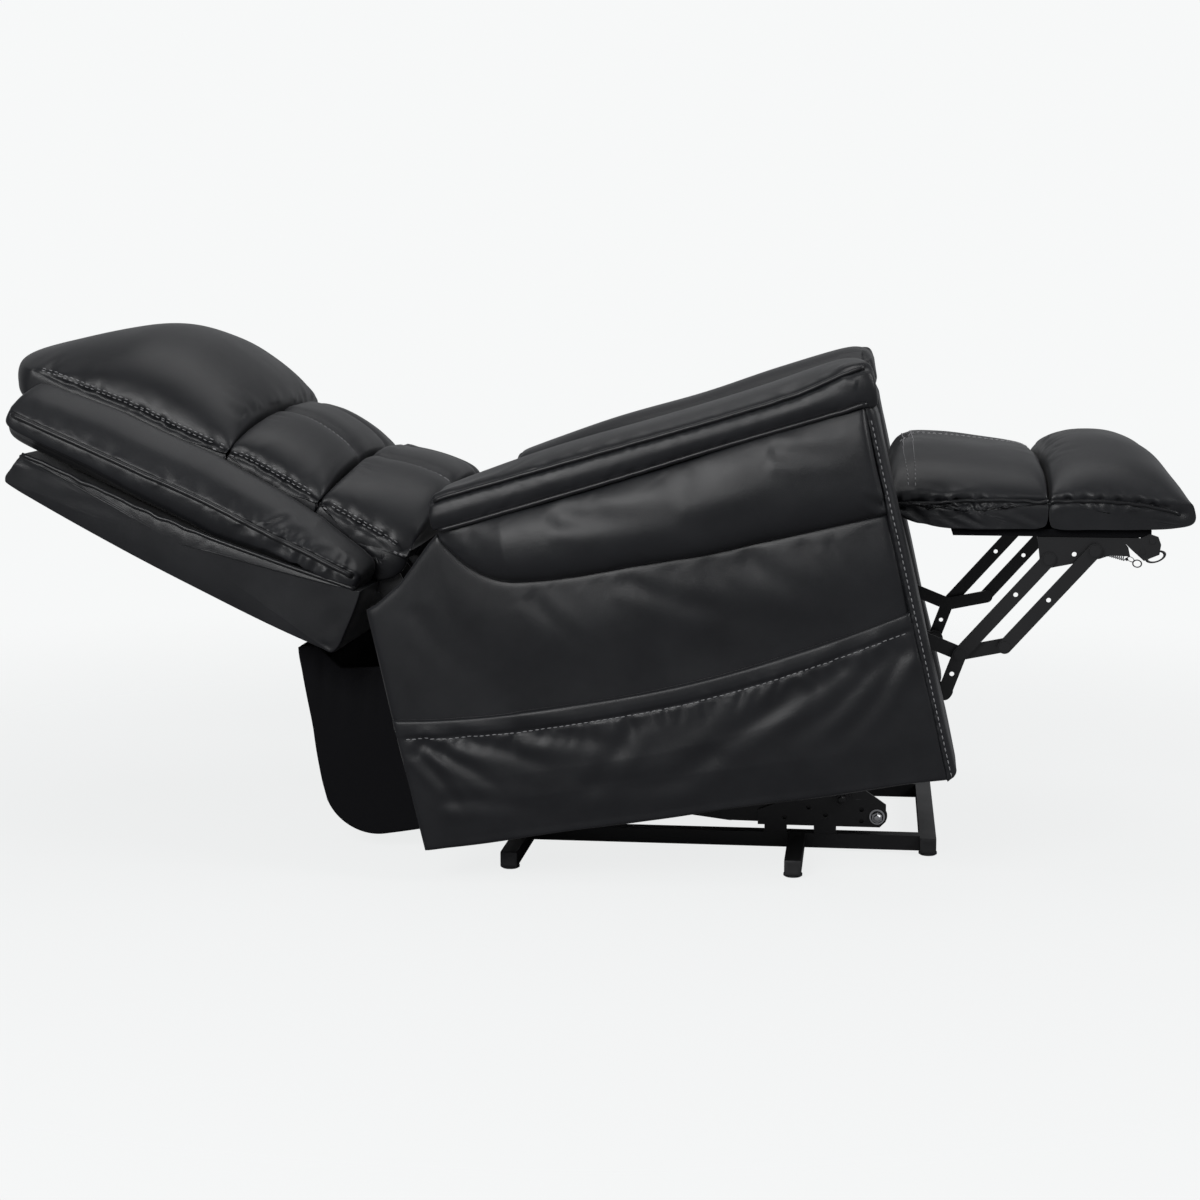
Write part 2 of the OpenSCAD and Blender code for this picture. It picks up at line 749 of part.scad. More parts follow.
module arm_pads() {
    x0 = 88;
    x1 = front_x(arm_h) + 8;
    steps = 16;
    top = [[x0, 500], [240, 522], [400, 542], [560, 562], [x1 - 30, arm_h], [x1, arm_h - 12]];
    mid = inner_y + arm_w / 2 + 2;
    half = arm_w / 2 + 6;
    color(LEATHER) in_body() both_sides() loft([for (i = [0:steps]) let (
        u = -cos(180 * i / steps), x = (x0 + x1) / 2 + u * (x1 - x0) / 2,
        s = crown(u, 0.45, 8), lo = lookup(x, arm_top) + seat_gap, hi = lookup(x, top), h = hi - lo, c = lo + h * 0.35)
        [for (q = [[-1, 0], [-1.0, 0.35], [-0.93, 0.68], [-0.7, 0.9], [-0.35, 1], [0.1, 1.0], [0.45, 0.95],
                [0.75, 0.83], [0.95, 0.6], [1.03, 0.35], [1.02, 0.15], [0.96, 0.02]])
            [x, mid + q[0] * half * (0.9 + 0.1 * s), c + (lo + q[1] * h - c) * s]]]);
}

// ---- rear apron and power box ----
module apron_outline(inset) {
    x = apron_x + inset;
    z = -5 + inset;
    r = apron_r - inset;
    translate([x, z + r]) square([abs(x) - 26, apron_top - z - r]);
    translate([x + r, z]) square([abs(x) - 26 - r, r + 1]);
    translate([x + r, z + r]) circle(r, $fn = 64);
}

module rear_apron() {
    side_y = mech_y + mech_t;
    color(CLOTH) in_body() {
        plate(-side_y - cloth_t, 2 * (side_y + cloth_t)) difference() {
            apron_outline(0);
            apron_outline(cloth_t);
            translate([apron_x + apron_r + 40, 20]) square([300, 400]);
        }
        both_sides() plate(side_y, cloth_t) difference() {
            apron_outline(cloth_t);
            polygon([[apron_x + 30, apron_top + 10], [apron_x + 60, 252], [-20, 240], [0, 240], [0, 400]]);
        }
        both_sides() plate(side_y, cloth_t) translate([-30, 126]) square([62, 48]);
    }
}

module power_box() {
    color(PLASTIC) in_body() difference() {
        translate([200, mech_y - 52, 128]) cube([130, 52, 44]);
        for (x = [225, 265, 305]) translate([x, mech_y - 53, 150]) rotate([-90, 0, 0]) cylinder(d = 12, h = 14, $fn = 32);
    }
}

// ---- back ----
bb_y = mech_y - upright_t - 6;
module back_brackets() {
    color(STEEL) in_back() {
        both_sides() {
            plate(bb_y, 5) bar([0, 0], [-22, 70], 36);
            rod_y([0, 0], bb_y + 5, mech_y + 0.3, bolt_r);
            translate([rail_x, bb_y, 60]) cube([rail_t - 1, 5, 110]);
        }
        translate([0, rec_act_y, 0]) {
            both_sides() plate(eye_t / 2 + lever_gap, lever_t) bar(polar(rec_lever_len, 262 - rest_recline), [-30, 34], 24);
            rod_y(polar(rec_lever_len, 262 - rest_recline), -eye_t / 2 - lever_gap, eye_t / 2 + lever_gap, bolt_r);
        }
    }
}

module back_posts() {
    color(TIMBER) in_back() both_sides()
        translate([rail_x, bb_y - rail_t, 44]) cube([rail_t, rail_t, shell_top - 54]);
}

module back_rails() {
    color(TIMBER) in_back() for (z = [46.3, 200, 360, shell_top - 40])
        translate([rail_x, -bb_y + rail_t, z]) cube([rail_t, 2 * (bb_y - rail_t), 30]);
}

module back_shell() {
    depth = shell_depth;
    outline = [[-8, shell_low], [-12, 24], [shell_front, 25.2], [shell_front, 200], [shell_front - 6, 380], [-56, shell_top - 6], [-62, shell_top],
        [-depth, shell_top + 6], [-depth - 6, shell_top - 20], [-depth - 14, shell_top * 0.6],
        [-depth - 14, shell_top * 0.3], [-depth - 7, 40], [-depth - 2, shell_low - 4], [-60, shell_low - 6]];
    color(LEATHER) in_back() difference() {
        plate(-half_back, back_w) polygon(outline);
        translate([-44, -bb_y - 14, shell_low - 20]) cube([80, 2 * bb_y + 28, 90]);
        translate([-86, rec_act_y - 24, shell_low - 20]) cube([60, 48, 56]);
    }
}

module wing_bolsters() {
    zs = [26, 35.5, 63.4, 107.7, 155, 200, 290, 380, shell_top - 105, shell_top - 48, shell_top - 3, shell_top + 24, shell_top + 34];
    color(LEATHER) in_back() both_sides() loft([for (i = [0:12]) let (
        z = zs[i], u = 2 * i / 12 - 1, s = crown(u, 0.5, 6), back = seat_gap + lookup(z, [[200, shell_front], [380, shell_front - 6], [600, shell_front - 14]]),
        front = lookup(z, [[20, 34], [120, 56], [300, 64], [450, 58], [600, 44]]))
        [for (q = [[0, 0], [0, 1], [0.35, 0.97], [0.75, 0.86], [0.97, 0.62], [1.02, 0.45], [1.0, 0.3], [0.98, 0]])
            [back + 20 + (q[1] * (front - back) - 20) * s, wing_in + q[0] * (half_back - wing_in), z]]]);
}

// crowned cushion on the front of the back, between its lower and upper edges
back_seam = 60;
lumbar_channel = 92;
module back_cushion(profile, z0, z1, channel = 0, drop = 0) {
    color(LEATHER) in_back() intersection() {
        loft(cushion_rings(profile, 0, back_seam, wing_in - 2, 14, channel, drop));
        above(z0 + seat_gap / 2, z1 - seat_gap / 2, cushion_rear);
    }
}

head_low = 294;
lumbar_low = 140;
module head_cushion() {
    back_cushion(smooth([[cushion_rear, head_low + 8], [70, head_low + 2], [132, head_low + 1], [164, head_low + 40],
        [180, 398], [181, 448], [168, 505], [134, 560], [88, 622], [46, back_len - 2], [12, back_len - 6],
        [-4, back_len - 34], [cushion_rear, 520]], 2), head_low, back_len + 100, 0, 62);
}

module upper_lumbar_cushion() {
    back_cushion(smooth([[cushion_rear, lumbar_low + 8], [70, lumbar_low + 3], [126, lumbar_low + 2], [143, lumbar_low + 30],
        [150, 215], [148, 250], [136, head_low - 10], [100, head_low - 3], [50, head_low - 3],
        [cushion_rear, head_low - 8]], 2), lumbar_low, head_low, lumbar_channel);
}

module lower_lumbar_cushion() {
    back_cushion(smooth([[28, 62], [28, 14], [80, -6], [140, -12], [166, 4], [164, 50], [152, 100],
        [137, lumbar_low - 13], [70, lumbar_low - 6], [cushion_rear, lumbar_low - 10], [cushion_rear, 104], [2, 94]], 2),
        -100, lumbar_low, lumbar_channel);
}

// ---- footrest linkage ----
module strip(y, a, b) {
    plate(y, strip_t) difference() {
        bar(a, b, strip_w);
        children();
    }
}

module front_footrest_links() {
    color(STEEL) in_body() both_sides() {
        plate(plane_1, strip_t) difference() {
            union() {
                bar(P1, X, strip_w);
                bar(X, Q, strip_w);
            }
            hole(P1, rivet_r + fit);
            hole((P1 + X) / 2, lightening_r);
        }
        for (p = [[X, plane_3], [Q, plane_4]]) {
            rod_y(p[0], plane_1 + strip_t, p[1] + strip_t + 0.3, rivet_r);
            rod_y(p[0], p[1] + strip_t + 0.3, p[1] + strip_t + 2.3, rivet_r + 4);
        }
    }
}

module outer_scissor_links() {
    color(STEEL) in_body() both_sides() {
        plate(plane_3, strip_t) difference() {
            union() {
                bar(R, X, strip_w);
                bar(X, F1, strip_w);
            }
            hole(X, rivet_r + fit);
            hole(X + 0.63 * (F1 - X), lightening_r);
            hole((R + X) / 2, lightening_r);
        }
        rod_y(R, plane_0 - strip_t - 0.5, plane_3, rivet_r);
        rod_y(R, plane_0 - strip_t - 2.5, plane_0 - strip_t - 0.5, rivet_r + 7);
        rod_y(F1, bracket_plane - 0.3, plane_3, rivet_r);
        rod_y(F1, bracket_plane - 2.3, bracket_plane - 0.3, rivet_r + 3);
        rod_y(F1, plane_3 + strip_t, plane_3 + strip_t + 2, rivet_r + 4);
    }
}

module inner_scissor_links() {
    color(STEEL) in_body() both_sides() strip(plane_4, Q, F2) {
        hole(Q, rivet_r + fit);
        hole(F2, rivet_r + 0.5);
        hole(Q + 0.49 * (F2 - Q), lightening_r);
    }
}

module rear_footrest_links() {
    color(STEEL) in_body() both_sides() plate(plane_0 - strip_t, strip_t) difference() {
        union() {
            bar(P2, R, strip_w);
            translate(R) circle(rivet_r + open_play + 6, $fn = 48);
        }
        hole(P2, rivet_r + fit);
        hole(R, rivet_r + open_play);
    }
}

// the bracket's plate carries both scissor rivets and a riveted end plate; its flange holds the board
bracket_outline = [[-16, pad_low - 14], [-13, 2], [-6, -9], [25, -4], [70, 1], [84, 6], [112, 5], [109, 18],
    [101, pad_low - 14]];
end_plate = [[100, pad_low - 14], [113, 15], [131, -1], [152, 8], [154, 22], [150, 33], [138, 37], [126, pad_low - 11]];
end_rivets = [[129, 12], [142, 27]];
module footrest_brackets() {
    second = in_pad_axes(F2 - F1);
    color(STEEL) in_pad() both_sides() {
        plate(bracket_plane, strip_t) difference() {
            union() {
                bar([0, 0], second, 26);
                polygon(bracket_outline);
                polygon(end_plate);
            }
            hole([0, 0], rivet_r + fit);
            hole([35, 7], lightening_r);
        }
        rod_y(second, bracket_plane + strip_t, plane_4 + strip_t + 0.3, rivet_r);
        rod_y(second, plane_4 + strip_t + 0.3, plane_4 + strip_t + 2.3, rivet_r + 4);
        for (p = end_rivets) rod_y(p, bracket_plane + strip_t, bracket_plane + strip_t + 1.5, 4);
        for (x = [78, 108]) rod_y([x, spring_z(x)], bracket_plane - 5.7, bracket_plane, 2);
        translate([bracket_outline[0][0], bracket_plane - 26, pad_low - board_h - 3.6]) cube([140, 26 + strip_t, 3]);
    }
}

// return spring: a helix of round wire along +X, its wire's centre at spring_r, hung between two pegs
spring_turns = 9;
spring_pitch = 2.8;
spring_r = 3.0;
wire_r = 0.7;
spring_rings = 8;
spring_start = 81;
spring_drop = 0.27;
function spring_z(x) = 7.5 - spring_drop * (x - spring_start);
function helix_pt(i) = let (a = 360 * i / spring_rings)
    [spring_pitch * i / spring_rings, spring_r * cos(a), spring_r * sin(a)];
function helix_ring(i) = let (a = 360 * i / spring_rings, n = [0, cos(a), sin(a)], t0 = [0, -sin(a), cos(a)],
    t = (t0 * 2 * PI * spring_r + [spring_pitch, 0, 0]) / norm([2 * PI * spring_r, spring_pitch]), b = cross(n, t))
    [for (k = [0:5]) helix_pt(i) + wire_r * (cos(60 * k) * n + sin(60 * k) * b)];
echo(spring_gap = min([for (i = [0:spring_rings], j = [i + 5:2 * spring_rings])
    norm(helix_pt(j) - helix_pt(i))]) - 2 * wire_r);

module bracket_springs() {
    color(ZINC) in_pad() both_sides() translate([spring_start, bracket_plane - 4.2, spring_z(spring_start)])
        rotate([0, atan(spring_drop), 0]) loft([for (i = [0:spring_turns * spring_rings]) helix_ring(i)]);
}

board_in = 90;
board_h = 10.4;
module footrest_board() {
    color(TIMBER) in_pad() translate([pad_rear + board_in, -board_half, pad_low - board_h - seat_gap])
        cube([footrest_len - board_in - 60, 2 * board_half, board_h]);
}

pad_seam = 80;
module chaise_pad() {
    t = footrest_t;
    profile = smooth([[pad_rear + 12, pad_low + 26], [pad_rear + 60, pad_low + 2], [-110, pad_low], [roll_x - 20, pad_low],
        [roll_x - 3, pad_low + 20], [roll_x - 3, pad_low + 60], [roll_x - 6, pad_low + t - 14], [-34, pad_low + t - 1],
        [-90, pad_low + t + 6], [-150, pad_low + t + 11], [-196, pad_low + t + 10], [pad_rear + 4, pad_low + t - 4],
        [pad_rear, pad_low + 72]], 3);
    color(LEATHER) in_pad() intersection() {
        loft(cushion_rings(profile, 1, pad_seam, pad_half, 12));
        above(pad_low);
    }
}

module footrest_roll() {
    t = footrest_t;
    profile = smooth([[roll_x + 3, pad_low + 16], [roll_x + 16, pad_low - 2], [60, pad_low - 6], [120, pad_low - 2],
        [pad_tip - 26, pad_low + 4], [pad_tip - 2, pad_low + 14], [pad_tip - 10, pad_low + 46], [160, pad_low + t - 16],
        [118, pad_low + t + 8], [76, pad_low + t + 14], [34, pad_low + t + 8], [roll_x + 8, pad_low + t - 16],
        [roll_x + 3, pad_low + 60]], 3);
    color(LEATHER) in_pad() intersection() {
        loft(cushion_rings(profile, 1, pad_seam, pad_half, 12));
        above(pad_low, 2000, roll_x + seat_gap / 2);
    }
}

base_rails();
front_cross_tube();
rear_cross_tube();
front_outriggers();
rear_outriggers();
glide_cups();
glide_feet();
riser_plates();
riser_blocks();
lift_pivot_bolts();
lower_lift_links();
lift_link_tube();
lift_levers();
upper_lift_links();
lift_frame_plates();
lift_frame_rear_tube();
lift_frame_front_tube();
lift_frame_pins();
lift_motor();
lift_actuator_tube();
lift_actuator_rod();
mechanism_plates();
back_uprights();
seat_front_tube();
seat_rear_tube();
tilt_brackets();
footrest_studs();
seat_box_boards();
seat_springs();
seat_cushion();
arm_brackets();
arm_frames();
arm_inner_panels();
side_panels();
upper_side_panels();
pocket_panels();
arm_front_bands();
arm_pads();
rear_apron();
power_box();
recline_motor();
recline_actuator_tube();
recline_actuator_rod();
back_brackets();
back_posts();
back_rails();
back_shell();
wing_bolsters();
head_cushion();
upper_lumbar_cushion();
lower_lumbar_cushion();
front_footrest_links();
outer_scissor_links();
inner_scissor_links();
rear_footrest_links();
footrest_brackets();
bracket_springs();
footrest_board();
chaise_pad();
footrest_roll();
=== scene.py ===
import json
import math

import bmesh
import bpy
import numpy as np
from mathutils import Matrix, Vector
from mathutils.bvhtree import BVHTree


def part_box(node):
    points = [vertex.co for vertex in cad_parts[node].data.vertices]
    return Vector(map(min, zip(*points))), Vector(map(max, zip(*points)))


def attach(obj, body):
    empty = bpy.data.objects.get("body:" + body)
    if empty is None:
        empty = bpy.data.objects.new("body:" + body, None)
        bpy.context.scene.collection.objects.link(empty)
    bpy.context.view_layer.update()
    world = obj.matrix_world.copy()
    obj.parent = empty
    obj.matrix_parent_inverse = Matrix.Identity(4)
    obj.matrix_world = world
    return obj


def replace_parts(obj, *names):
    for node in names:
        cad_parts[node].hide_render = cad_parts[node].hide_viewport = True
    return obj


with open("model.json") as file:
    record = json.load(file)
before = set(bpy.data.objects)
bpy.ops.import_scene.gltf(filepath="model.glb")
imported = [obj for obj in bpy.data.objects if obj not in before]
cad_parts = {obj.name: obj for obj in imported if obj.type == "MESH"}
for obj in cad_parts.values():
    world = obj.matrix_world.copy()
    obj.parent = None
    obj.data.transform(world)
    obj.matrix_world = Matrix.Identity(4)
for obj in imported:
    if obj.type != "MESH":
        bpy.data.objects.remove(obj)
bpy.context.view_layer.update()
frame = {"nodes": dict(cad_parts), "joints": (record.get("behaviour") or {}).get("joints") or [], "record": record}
scene = bpy.context.scene
scene.view_settings.view_transform = "Standard"
bpy.ops.object.select_all(action="DESELECT")


# ---- Studio ----
# A pale seamless floor under large soft lamps, as furniture is shown for sale. The floor fades into the
# white around it, and the camera looks slightly down on the chair's side from a distance.
MM = 0.001
STUDIO_WHITE = (0.93, 0.94, 0.94, 1)
FLOOR_SIZE = 16
FLOOR_FADE = (0.9, 2.6)
FLOOR_GLOW = 0.87
FLOOR_SEEN = (0.86, 0.865, 0.87, 1)
FLOOR_FELT = (0.3, 0.3, 0.31, 1)
MIRRORED_WHITE = 0.15
AIR_COLOUR = (0.86, 0.88, 0.92, 1)
AIR_STRENGTH = 0.2
LAMPS = {
    "overhead_box": ((0.1, 0.6, 3.2), (-10, 0, 0), 2.2, 21),
    "side_box": ((-1.0, -3.5, 2.1), (62, 0, -18), 1.5, 74),
    "front_box": ((3.0, -1.4, 2.4), (56, 0, 65), 1.1, 38),
}


def studio_light(name, place, turn, width, power):
    bpy.ops.object.light_add(type="AREA", location=place, rotation=[math.radians(a) for a in turn])
    lamp = bpy.context.object
    lamp.name = name
    lamp.data.shape = "SQUARE"
    lamp.data.size = width
    lamp.data.energy = power


def add_rays(tree, path):
    """How much of the white a ray sees: all of it straight or through glass, and some in a reflection."""
    total = path.outputs["Is Camera Ray"]
    for kind, share in (("Is Glossy Ray", MIRRORED_WHITE), ("Is Transmission Ray", 1.0)):
        both = tree.nodes.new("ShaderNodeMath")
        both.operation = "MULTIPLY_ADD"
        both.inputs[1].default_value = share
        tree.links.new(path.outputs[kind], both.inputs[0])
        tree.links.new(total, both.inputs[2])
        total = both.outputs["Value"]
    return total


def studio_world():
    world = bpy.data.worlds.new("studio_air")
    scene.world = world
    world.use_nodes = True
    tree = world.node_tree
    air = tree.nodes["Background"]
    air.inputs["Color"].default_value = AIR_COLOUR
    air.inputs["Strength"].default_value = AIR_STRENGTH
    seen = tree.nodes.new("ShaderNodeBackground")
    seen.inputs["Color"].default_value = STUDIO_WHITE
    path = tree.nodes.new("ShaderNodeLightPath")
    mix = tree.nodes.new("ShaderNodeMixShader")
    direct = add_rays(tree, path)
    tree.links.new(direct, mix.inputs["Fac"])
    tree.links.new(air.outputs["Background"], mix.inputs[1])
    tree.links.new(seen.outputs["Background"], mix.inputs[2])
    tree.links.new(mix.outputs["Shader"], tree.nodes["World Output"].inputs["Surface"])


def studio_floor():
    bpy.ops.mesh.primitive_plane_add(size=FLOOR_SIZE, location=(0, 0, 0))
    floor = bpy.context.object
    floor.name = "studio_floor"
    paint = bpy.data.materials.new("floor_paint")
    paint.use_nodes = True
    tree = paint.node_tree
    body = tree.nodes["Principled BSDF"]
    body.inputs["Roughness"].default_value = 0.9
    body.inputs["Specular IOR Level"].default_value = 0.1
    where = tree.nodes.new("ShaderNodeTexCoord")
    reach = tree.nodes.new("ShaderNodeVectorMath")
    reach.operation = "LENGTH"
    fade = tree.nodes.new("ShaderNodeMapRange")
    fade.interpolation_type = "SMOOTHSTEP"
    fade.inputs["From Min"].default_value, fade.inputs["From Max"].default_value = FLOOR_FADE
    clear = tree.nodes.new("ShaderNodeBsdfTransparent")
    glow = tree.nodes.new("ShaderNodeEmission")
    glow.inputs["Color"].default_value = STUDIO_WHITE
    path = tree.nodes.new("ShaderNodeLightPath")
    part = tree.nodes.new("ShaderNodeMath")
    part.operation = "MULTIPLY"
    part.inputs[1].default_value = FLOOR_GLOW
    lit = tree.nodes.new("ShaderNodeMixShader")
    mix = tree.nodes.new("ShaderNodeMixShader")
    tree.links.new(where.outputs["Object"], reach.inputs[0])
    tree.links.new(reach.outputs["Value"], fade.inputs["Value"])
    tree.links.new(fade.outputs["Result"], mix.inputs["Fac"])
    tree.links.new(path.outputs["Is Camera Ray"], part.inputs[0])
    tree.links.new(part.outputs["Value"], lit.inputs["Fac"])
    shade = tree.nodes.new("ShaderNodeMix")
    shade.data_type = "RGBA"
    shade.inputs["A"].default_value = FLOOR_FELT
    shade.inputs["B"].default_value = FLOOR_SEEN
    tree.links.new(path.outputs["Is Camera Ray"], shade.inputs["Factor"])
    tree.links.new(shade.outputs["Result"], body.inputs["Base Color"])
    tree.links.new(body.outputs["BSDF"], lit.inputs[1])
    tree.links.new(glow.outputs["Emission"], lit.inputs[2])
    tree.links.new(lit.outputs["Shader"], mix.inputs[1])
    tree.links.new(clear.outputs["BSDF"], mix.inputs[2])
    tree.links.new(mix.outputs["Shader"], tree.nodes["Material Output"].inputs["Surface"])
    floor.data.materials.append(paint)


CAMERA_AT = (0.4204, -3.4672, 0.8253)
LOOK_DOWN = 7.84
LOOK_LEFT = 6.9
LENS = 67.56
SENSOR = 36
bpy.ops.object.camera_add(location=CAMERA_AT, rotation=(math.radians(90 - LOOK_DOWN), 0,
    math.radians(LOOK_LEFT)))
scene.camera = bpy.context.object
scene.camera.data.sensor_fit = "HORIZONTAL"
scene.camera.data.sensor_width = SENSOR
scene.camera.data.lens = LENS
studio_world()
studio_floor()
for lamp_name, settings in LAMPS.items():
    studio_light(lamp_name, *settings)


# ---- Painted steel ----
# The floor frame, lift links, seat mechanism and footrest links are pressed and welded mild steel under black
# powder paint, rubbed and scratched a little where the links pass each other.
def node_group(name, inputs, outputs):
    group = bpy.data.node_groups.new(name, "ShaderNodeTree")
    for label, kind, value in inputs:
        group.interface.new_socket(label, in_out="INPUT", socket_type=kind).default_value = value
    for label, kind in outputs:
        group.interface.new_socket(label, in_out="OUTPUT", socket_type=kind)
    return group, group.nodes.new("NodeGroupInput"), group.nodes.new("NodeGroupOutput")


def add_node(tree, kind, **settings):
    node = tree.nodes.new(kind)
    for key, value in settings.items():
        if key in node.inputs:
            node.inputs[key].default_value = value
        else:
            setattr(node, key, value)
    return node


def ranged(tree, value, low, high, from_low=0.0, from_high=1.0):
    node = add_node(tree, "ShaderNodeMapRange")
    node.inputs["From Min"].default_value = from_low
    node.inputs["From Max"].default_value = from_high
    node.inputs["To Min"].default_value = low
    node.inputs["To Max"].default_value = high
    tree.links.new(value, node.inputs["Value"])
    return node.outputs["Result"]


def mixed_colour(tree, share, first, second):
    node = tree.nodes.new("ShaderNodeMix")
    node.data_type = "RGBA"
    node.inputs["A"].default_value = (*first, 1)
    node.inputs["B"].default_value = (*second, 1)
    tree.links.new(share, node.inputs["Factor"])
    return node.outputs["Result"]


def bump(tree, height, strength, distance):
    node = add_node(tree, "ShaderNodeBump", Strength=strength, Distance=distance)
    tree.links.new(height, node.inputs["Height"])
    return node.outputs["Normal"]


def scuff_group():
    group, given, result = node_group(
        "paint_scuffs",
        [("Amount", "NodeSocketFloat", 0.5)],
        [("Mask", "NodeSocketFloat"), ("Mottle", "NodeSocketFloat")],
    )
    where = group.nodes.new("ShaderNodeTexCoord")
    patch = add_node(group, "ShaderNodeTexNoise", Scale=14.0, Detail=4.0)
    turn = group.nodes.new("ShaderNodeMapping")
    turn.inputs["Rotation"].default_value = (0.2, 0.7, 0.4)
    turn.inputs["Scale"].default_value = (14, 160, 260)
    scratch = add_node(group, "ShaderNodeTexNoise", Scale=3.0, Detail=5.0, Roughness=0.65)
    group.links.new(where.outputs["Object"], patch.inputs["Vector"])
    group.links.new(where.outputs["Object"], turn.inputs["Vector"])
    group.links.new(turn.outputs["Vector"], scratch.inputs["Vector"])
    lines = ranged(group, scratch.outputs["Fac"], 0, 1, 0.66, 0.74)
    places = ranged(group, patch.outputs["Fac"], 0, 1, 0.5, 0.68)
    both = add_node(group, "ShaderNodeMath", operation="MULTIPLY")
    group.links.new(lines, both.inputs[0])
    group.links.new(places, both.inputs[1])
    scaled = add_node(group, "ShaderNodeMath", operation="MULTIPLY")
    group.links.new(both.outputs["Value"], scaled.inputs[0])
    group.links.new(given.outputs["Amount"], scaled.inputs[1])
    group.links.new(scaled.outputs["Value"], result.inputs["Mask"])
    group.links.new(patch.outputs["Fac"], result.inputs["Mottle"])
    return group


scuffs = scuff_group()


def finish_material(name, roughness=0.5, metallic=0.0):
    material = bpy.data.materials.new(name)
    material.use_nodes = True
    shader = material.node_tree.nodes["Principled BSDF"]
    shader.inputs["Roughness"].default_value = roughness
    shader.inputs["Metallic"].default_value = metallic
    return material, material.node_tree, shader


def use_group(tree, group, **values):
    node = tree.nodes.new("ShaderNodeGroup")
    node.node_tree = group
    for key, value in values.items():
        node.inputs[key].default_value = value
    return node


def black_paint():
    material, tree, shader = finish_material("black_powder_paint")
    worn = use_group(tree, scuffs, Amount=0.8)
    grit = add_node(tree, "ShaderNodeTexNoise", Scale=900.0, Detail=3.0)
    where = tree.nodes.new("ShaderNodeTexCoord")
    tree.links.new(where.outputs["Object"], grit.inputs["Vector"])
    tree.links.new(mixed_colour(tree, worn.outputs["Mask"], (0.011, 0.011, 0.012), (0.2, 0.2, 0.21)),
        shader.inputs["Base Color"])
    tree.links.new(ranged(tree, worn.outputs["Mottle"], 0.3, 0.48), shader.inputs["Roughness"])
    tree.links.new(bump(tree, grit.outputs["Fac"], 0.2, 0.0003), shader.inputs["Normal"])
    return material


def zinc_plate():
    material, tree, shader = finish_material("zinc_plate", metallic=1.0)
    cloud = use_group(tree, scuffs, Amount=0.5)
    tree.links.new(mixed_colour(tree, cloud.outputs["Mottle"], (0.5, 0.51, 0.53), (0.72, 0.73, 0.74)),
        shader.inputs["Base Color"])
    tree.links.new(ranged(tree, cloud.outputs["Mottle"], 0.2, 0.42), shader.inputs["Roughness"])
    return material


def moulded_plastic():
    material, tree, shader = finish_material("black_moulded_plastic", 0.55)
    where = tree.nodes.new("ShaderNodeTexCoord")
    stipple = add_node(tree, "ShaderNodeTexNoise", Scale=1400.0, Detail=2.0)
    tree.links.new(where.outputs["Object"], stipple.inputs["Vector"])
    tree.links.new(mixed_colour(tree, stipple.outputs["Fac"], (0.014, 0.014, 0.015), (0.026, 0.026, 0.028)),
        shader.inputs["Base Color"])
    tree.links.new(bump(tree, stipple.outputs["Fac"], 0.3, 0.0003), shader.inputs["Normal"])
    return material


def sawn_timber():
    material, tree, shader = finish_material("sawn_timber", 0.7)
    where = tree.nodes.new("ShaderNodeTexCoord")
    stretch = tree.nodes.new("ShaderNodeMapping")
    stretch.inputs["Scale"].default_value = (1.2, 14, 14)
    rings = add_node(tree, "ShaderNodeTexNoise", Scale=9.0, Detail=6.0, Distortion=0.6)
    tree.links.new(where.outputs["Object"], stretch.inputs["Vector"])
    tree.links.new(stretch.outputs["Vector"], rings.inputs["Vector"])
    tree.links.new(mixed_colour(tree, rings.outputs["Fac"], (0.3, 0.19, 0.095), (0.62, 0.45, 0.27)),
        shader.inputs["Base Color"])
    tree.links.new(bump(tree, rings.outputs["Fac"], 0.3, 0.0006), shader.inputs["Normal"])
    return material


def zigzag_spring_wire():
    material, tree, shader = finish_material("spring_wire", metallic=1.0)
    cloud = use_group(tree, scuffs, Amount=0.3)
    tree.links.new(mixed_colour(tree, cloud.outputs["Mottle"], (0.2, 0.2, 0.21), (0.36, 0.36, 0.37)),
        shader.inputs["Base Color"])
    tree.links.new(ranged(tree, cloud.outputs["Mottle"], 0.3, 0.5), shader.inputs["Roughness"])
    return material


finishes = {
    "black_steel": black_paint(),
    "zinc_steel": zinc_plate(),
    "black_plastic": moulded_plastic(),
    "timber": sawn_timber(),
}


def give_finish(piece, material):
    for place in piece.material_slots:
        place.material = material
    if not piece.material_slots:
        piece.data.materials.append(material)


for part in frame["record"]["subparts"]:
    if part["material_slot"] in finishes:
        give_finish(frame["nodes"][part["node"]], finishes[part["material_slot"]])
give_finish(frame["nodes"]["seat_springs"], zigzag_spring_wire())


# ---- Tube end plugs ----
# Black plastic plugs are pushed into the open ends of the front and rear tubes and of the outriggers.
# Each has a domed square head that overlaps the tube's wall and a ribbed shank inside it.
PLUG_HEAD = 3.0
PLUG_BEVEL = 1.2


def select_faces(piece, test):
    bpy.ops.object.mode_set(mode="OBJECT")
    for edge in piece.data.edges:
        edge.select = False
    for vertex in piece.data.vertices:
        vertex.select = False
    for face in piece.data.polygons:
        face.select = test(face)
    bpy.ops.object.mode_set(mode="EDIT")
    bpy.ops.mesh.select_mode(type="FACE")


def settle(piece, name, material, body):
    """Leaves a finished piece at the origin with its place in its mesh, with its finish and its carrier."""
    bpy.ops.object.select_all(action="DESELECT")
    piece.select_set(True)
    bpy.context.view_layer.objects.active = piece
    bpy.ops.object.transform_apply(location=True, rotation=True, scale=True)
    piece.name = name
    give_finish(piece, material)
    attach(piece, body)
    return piece


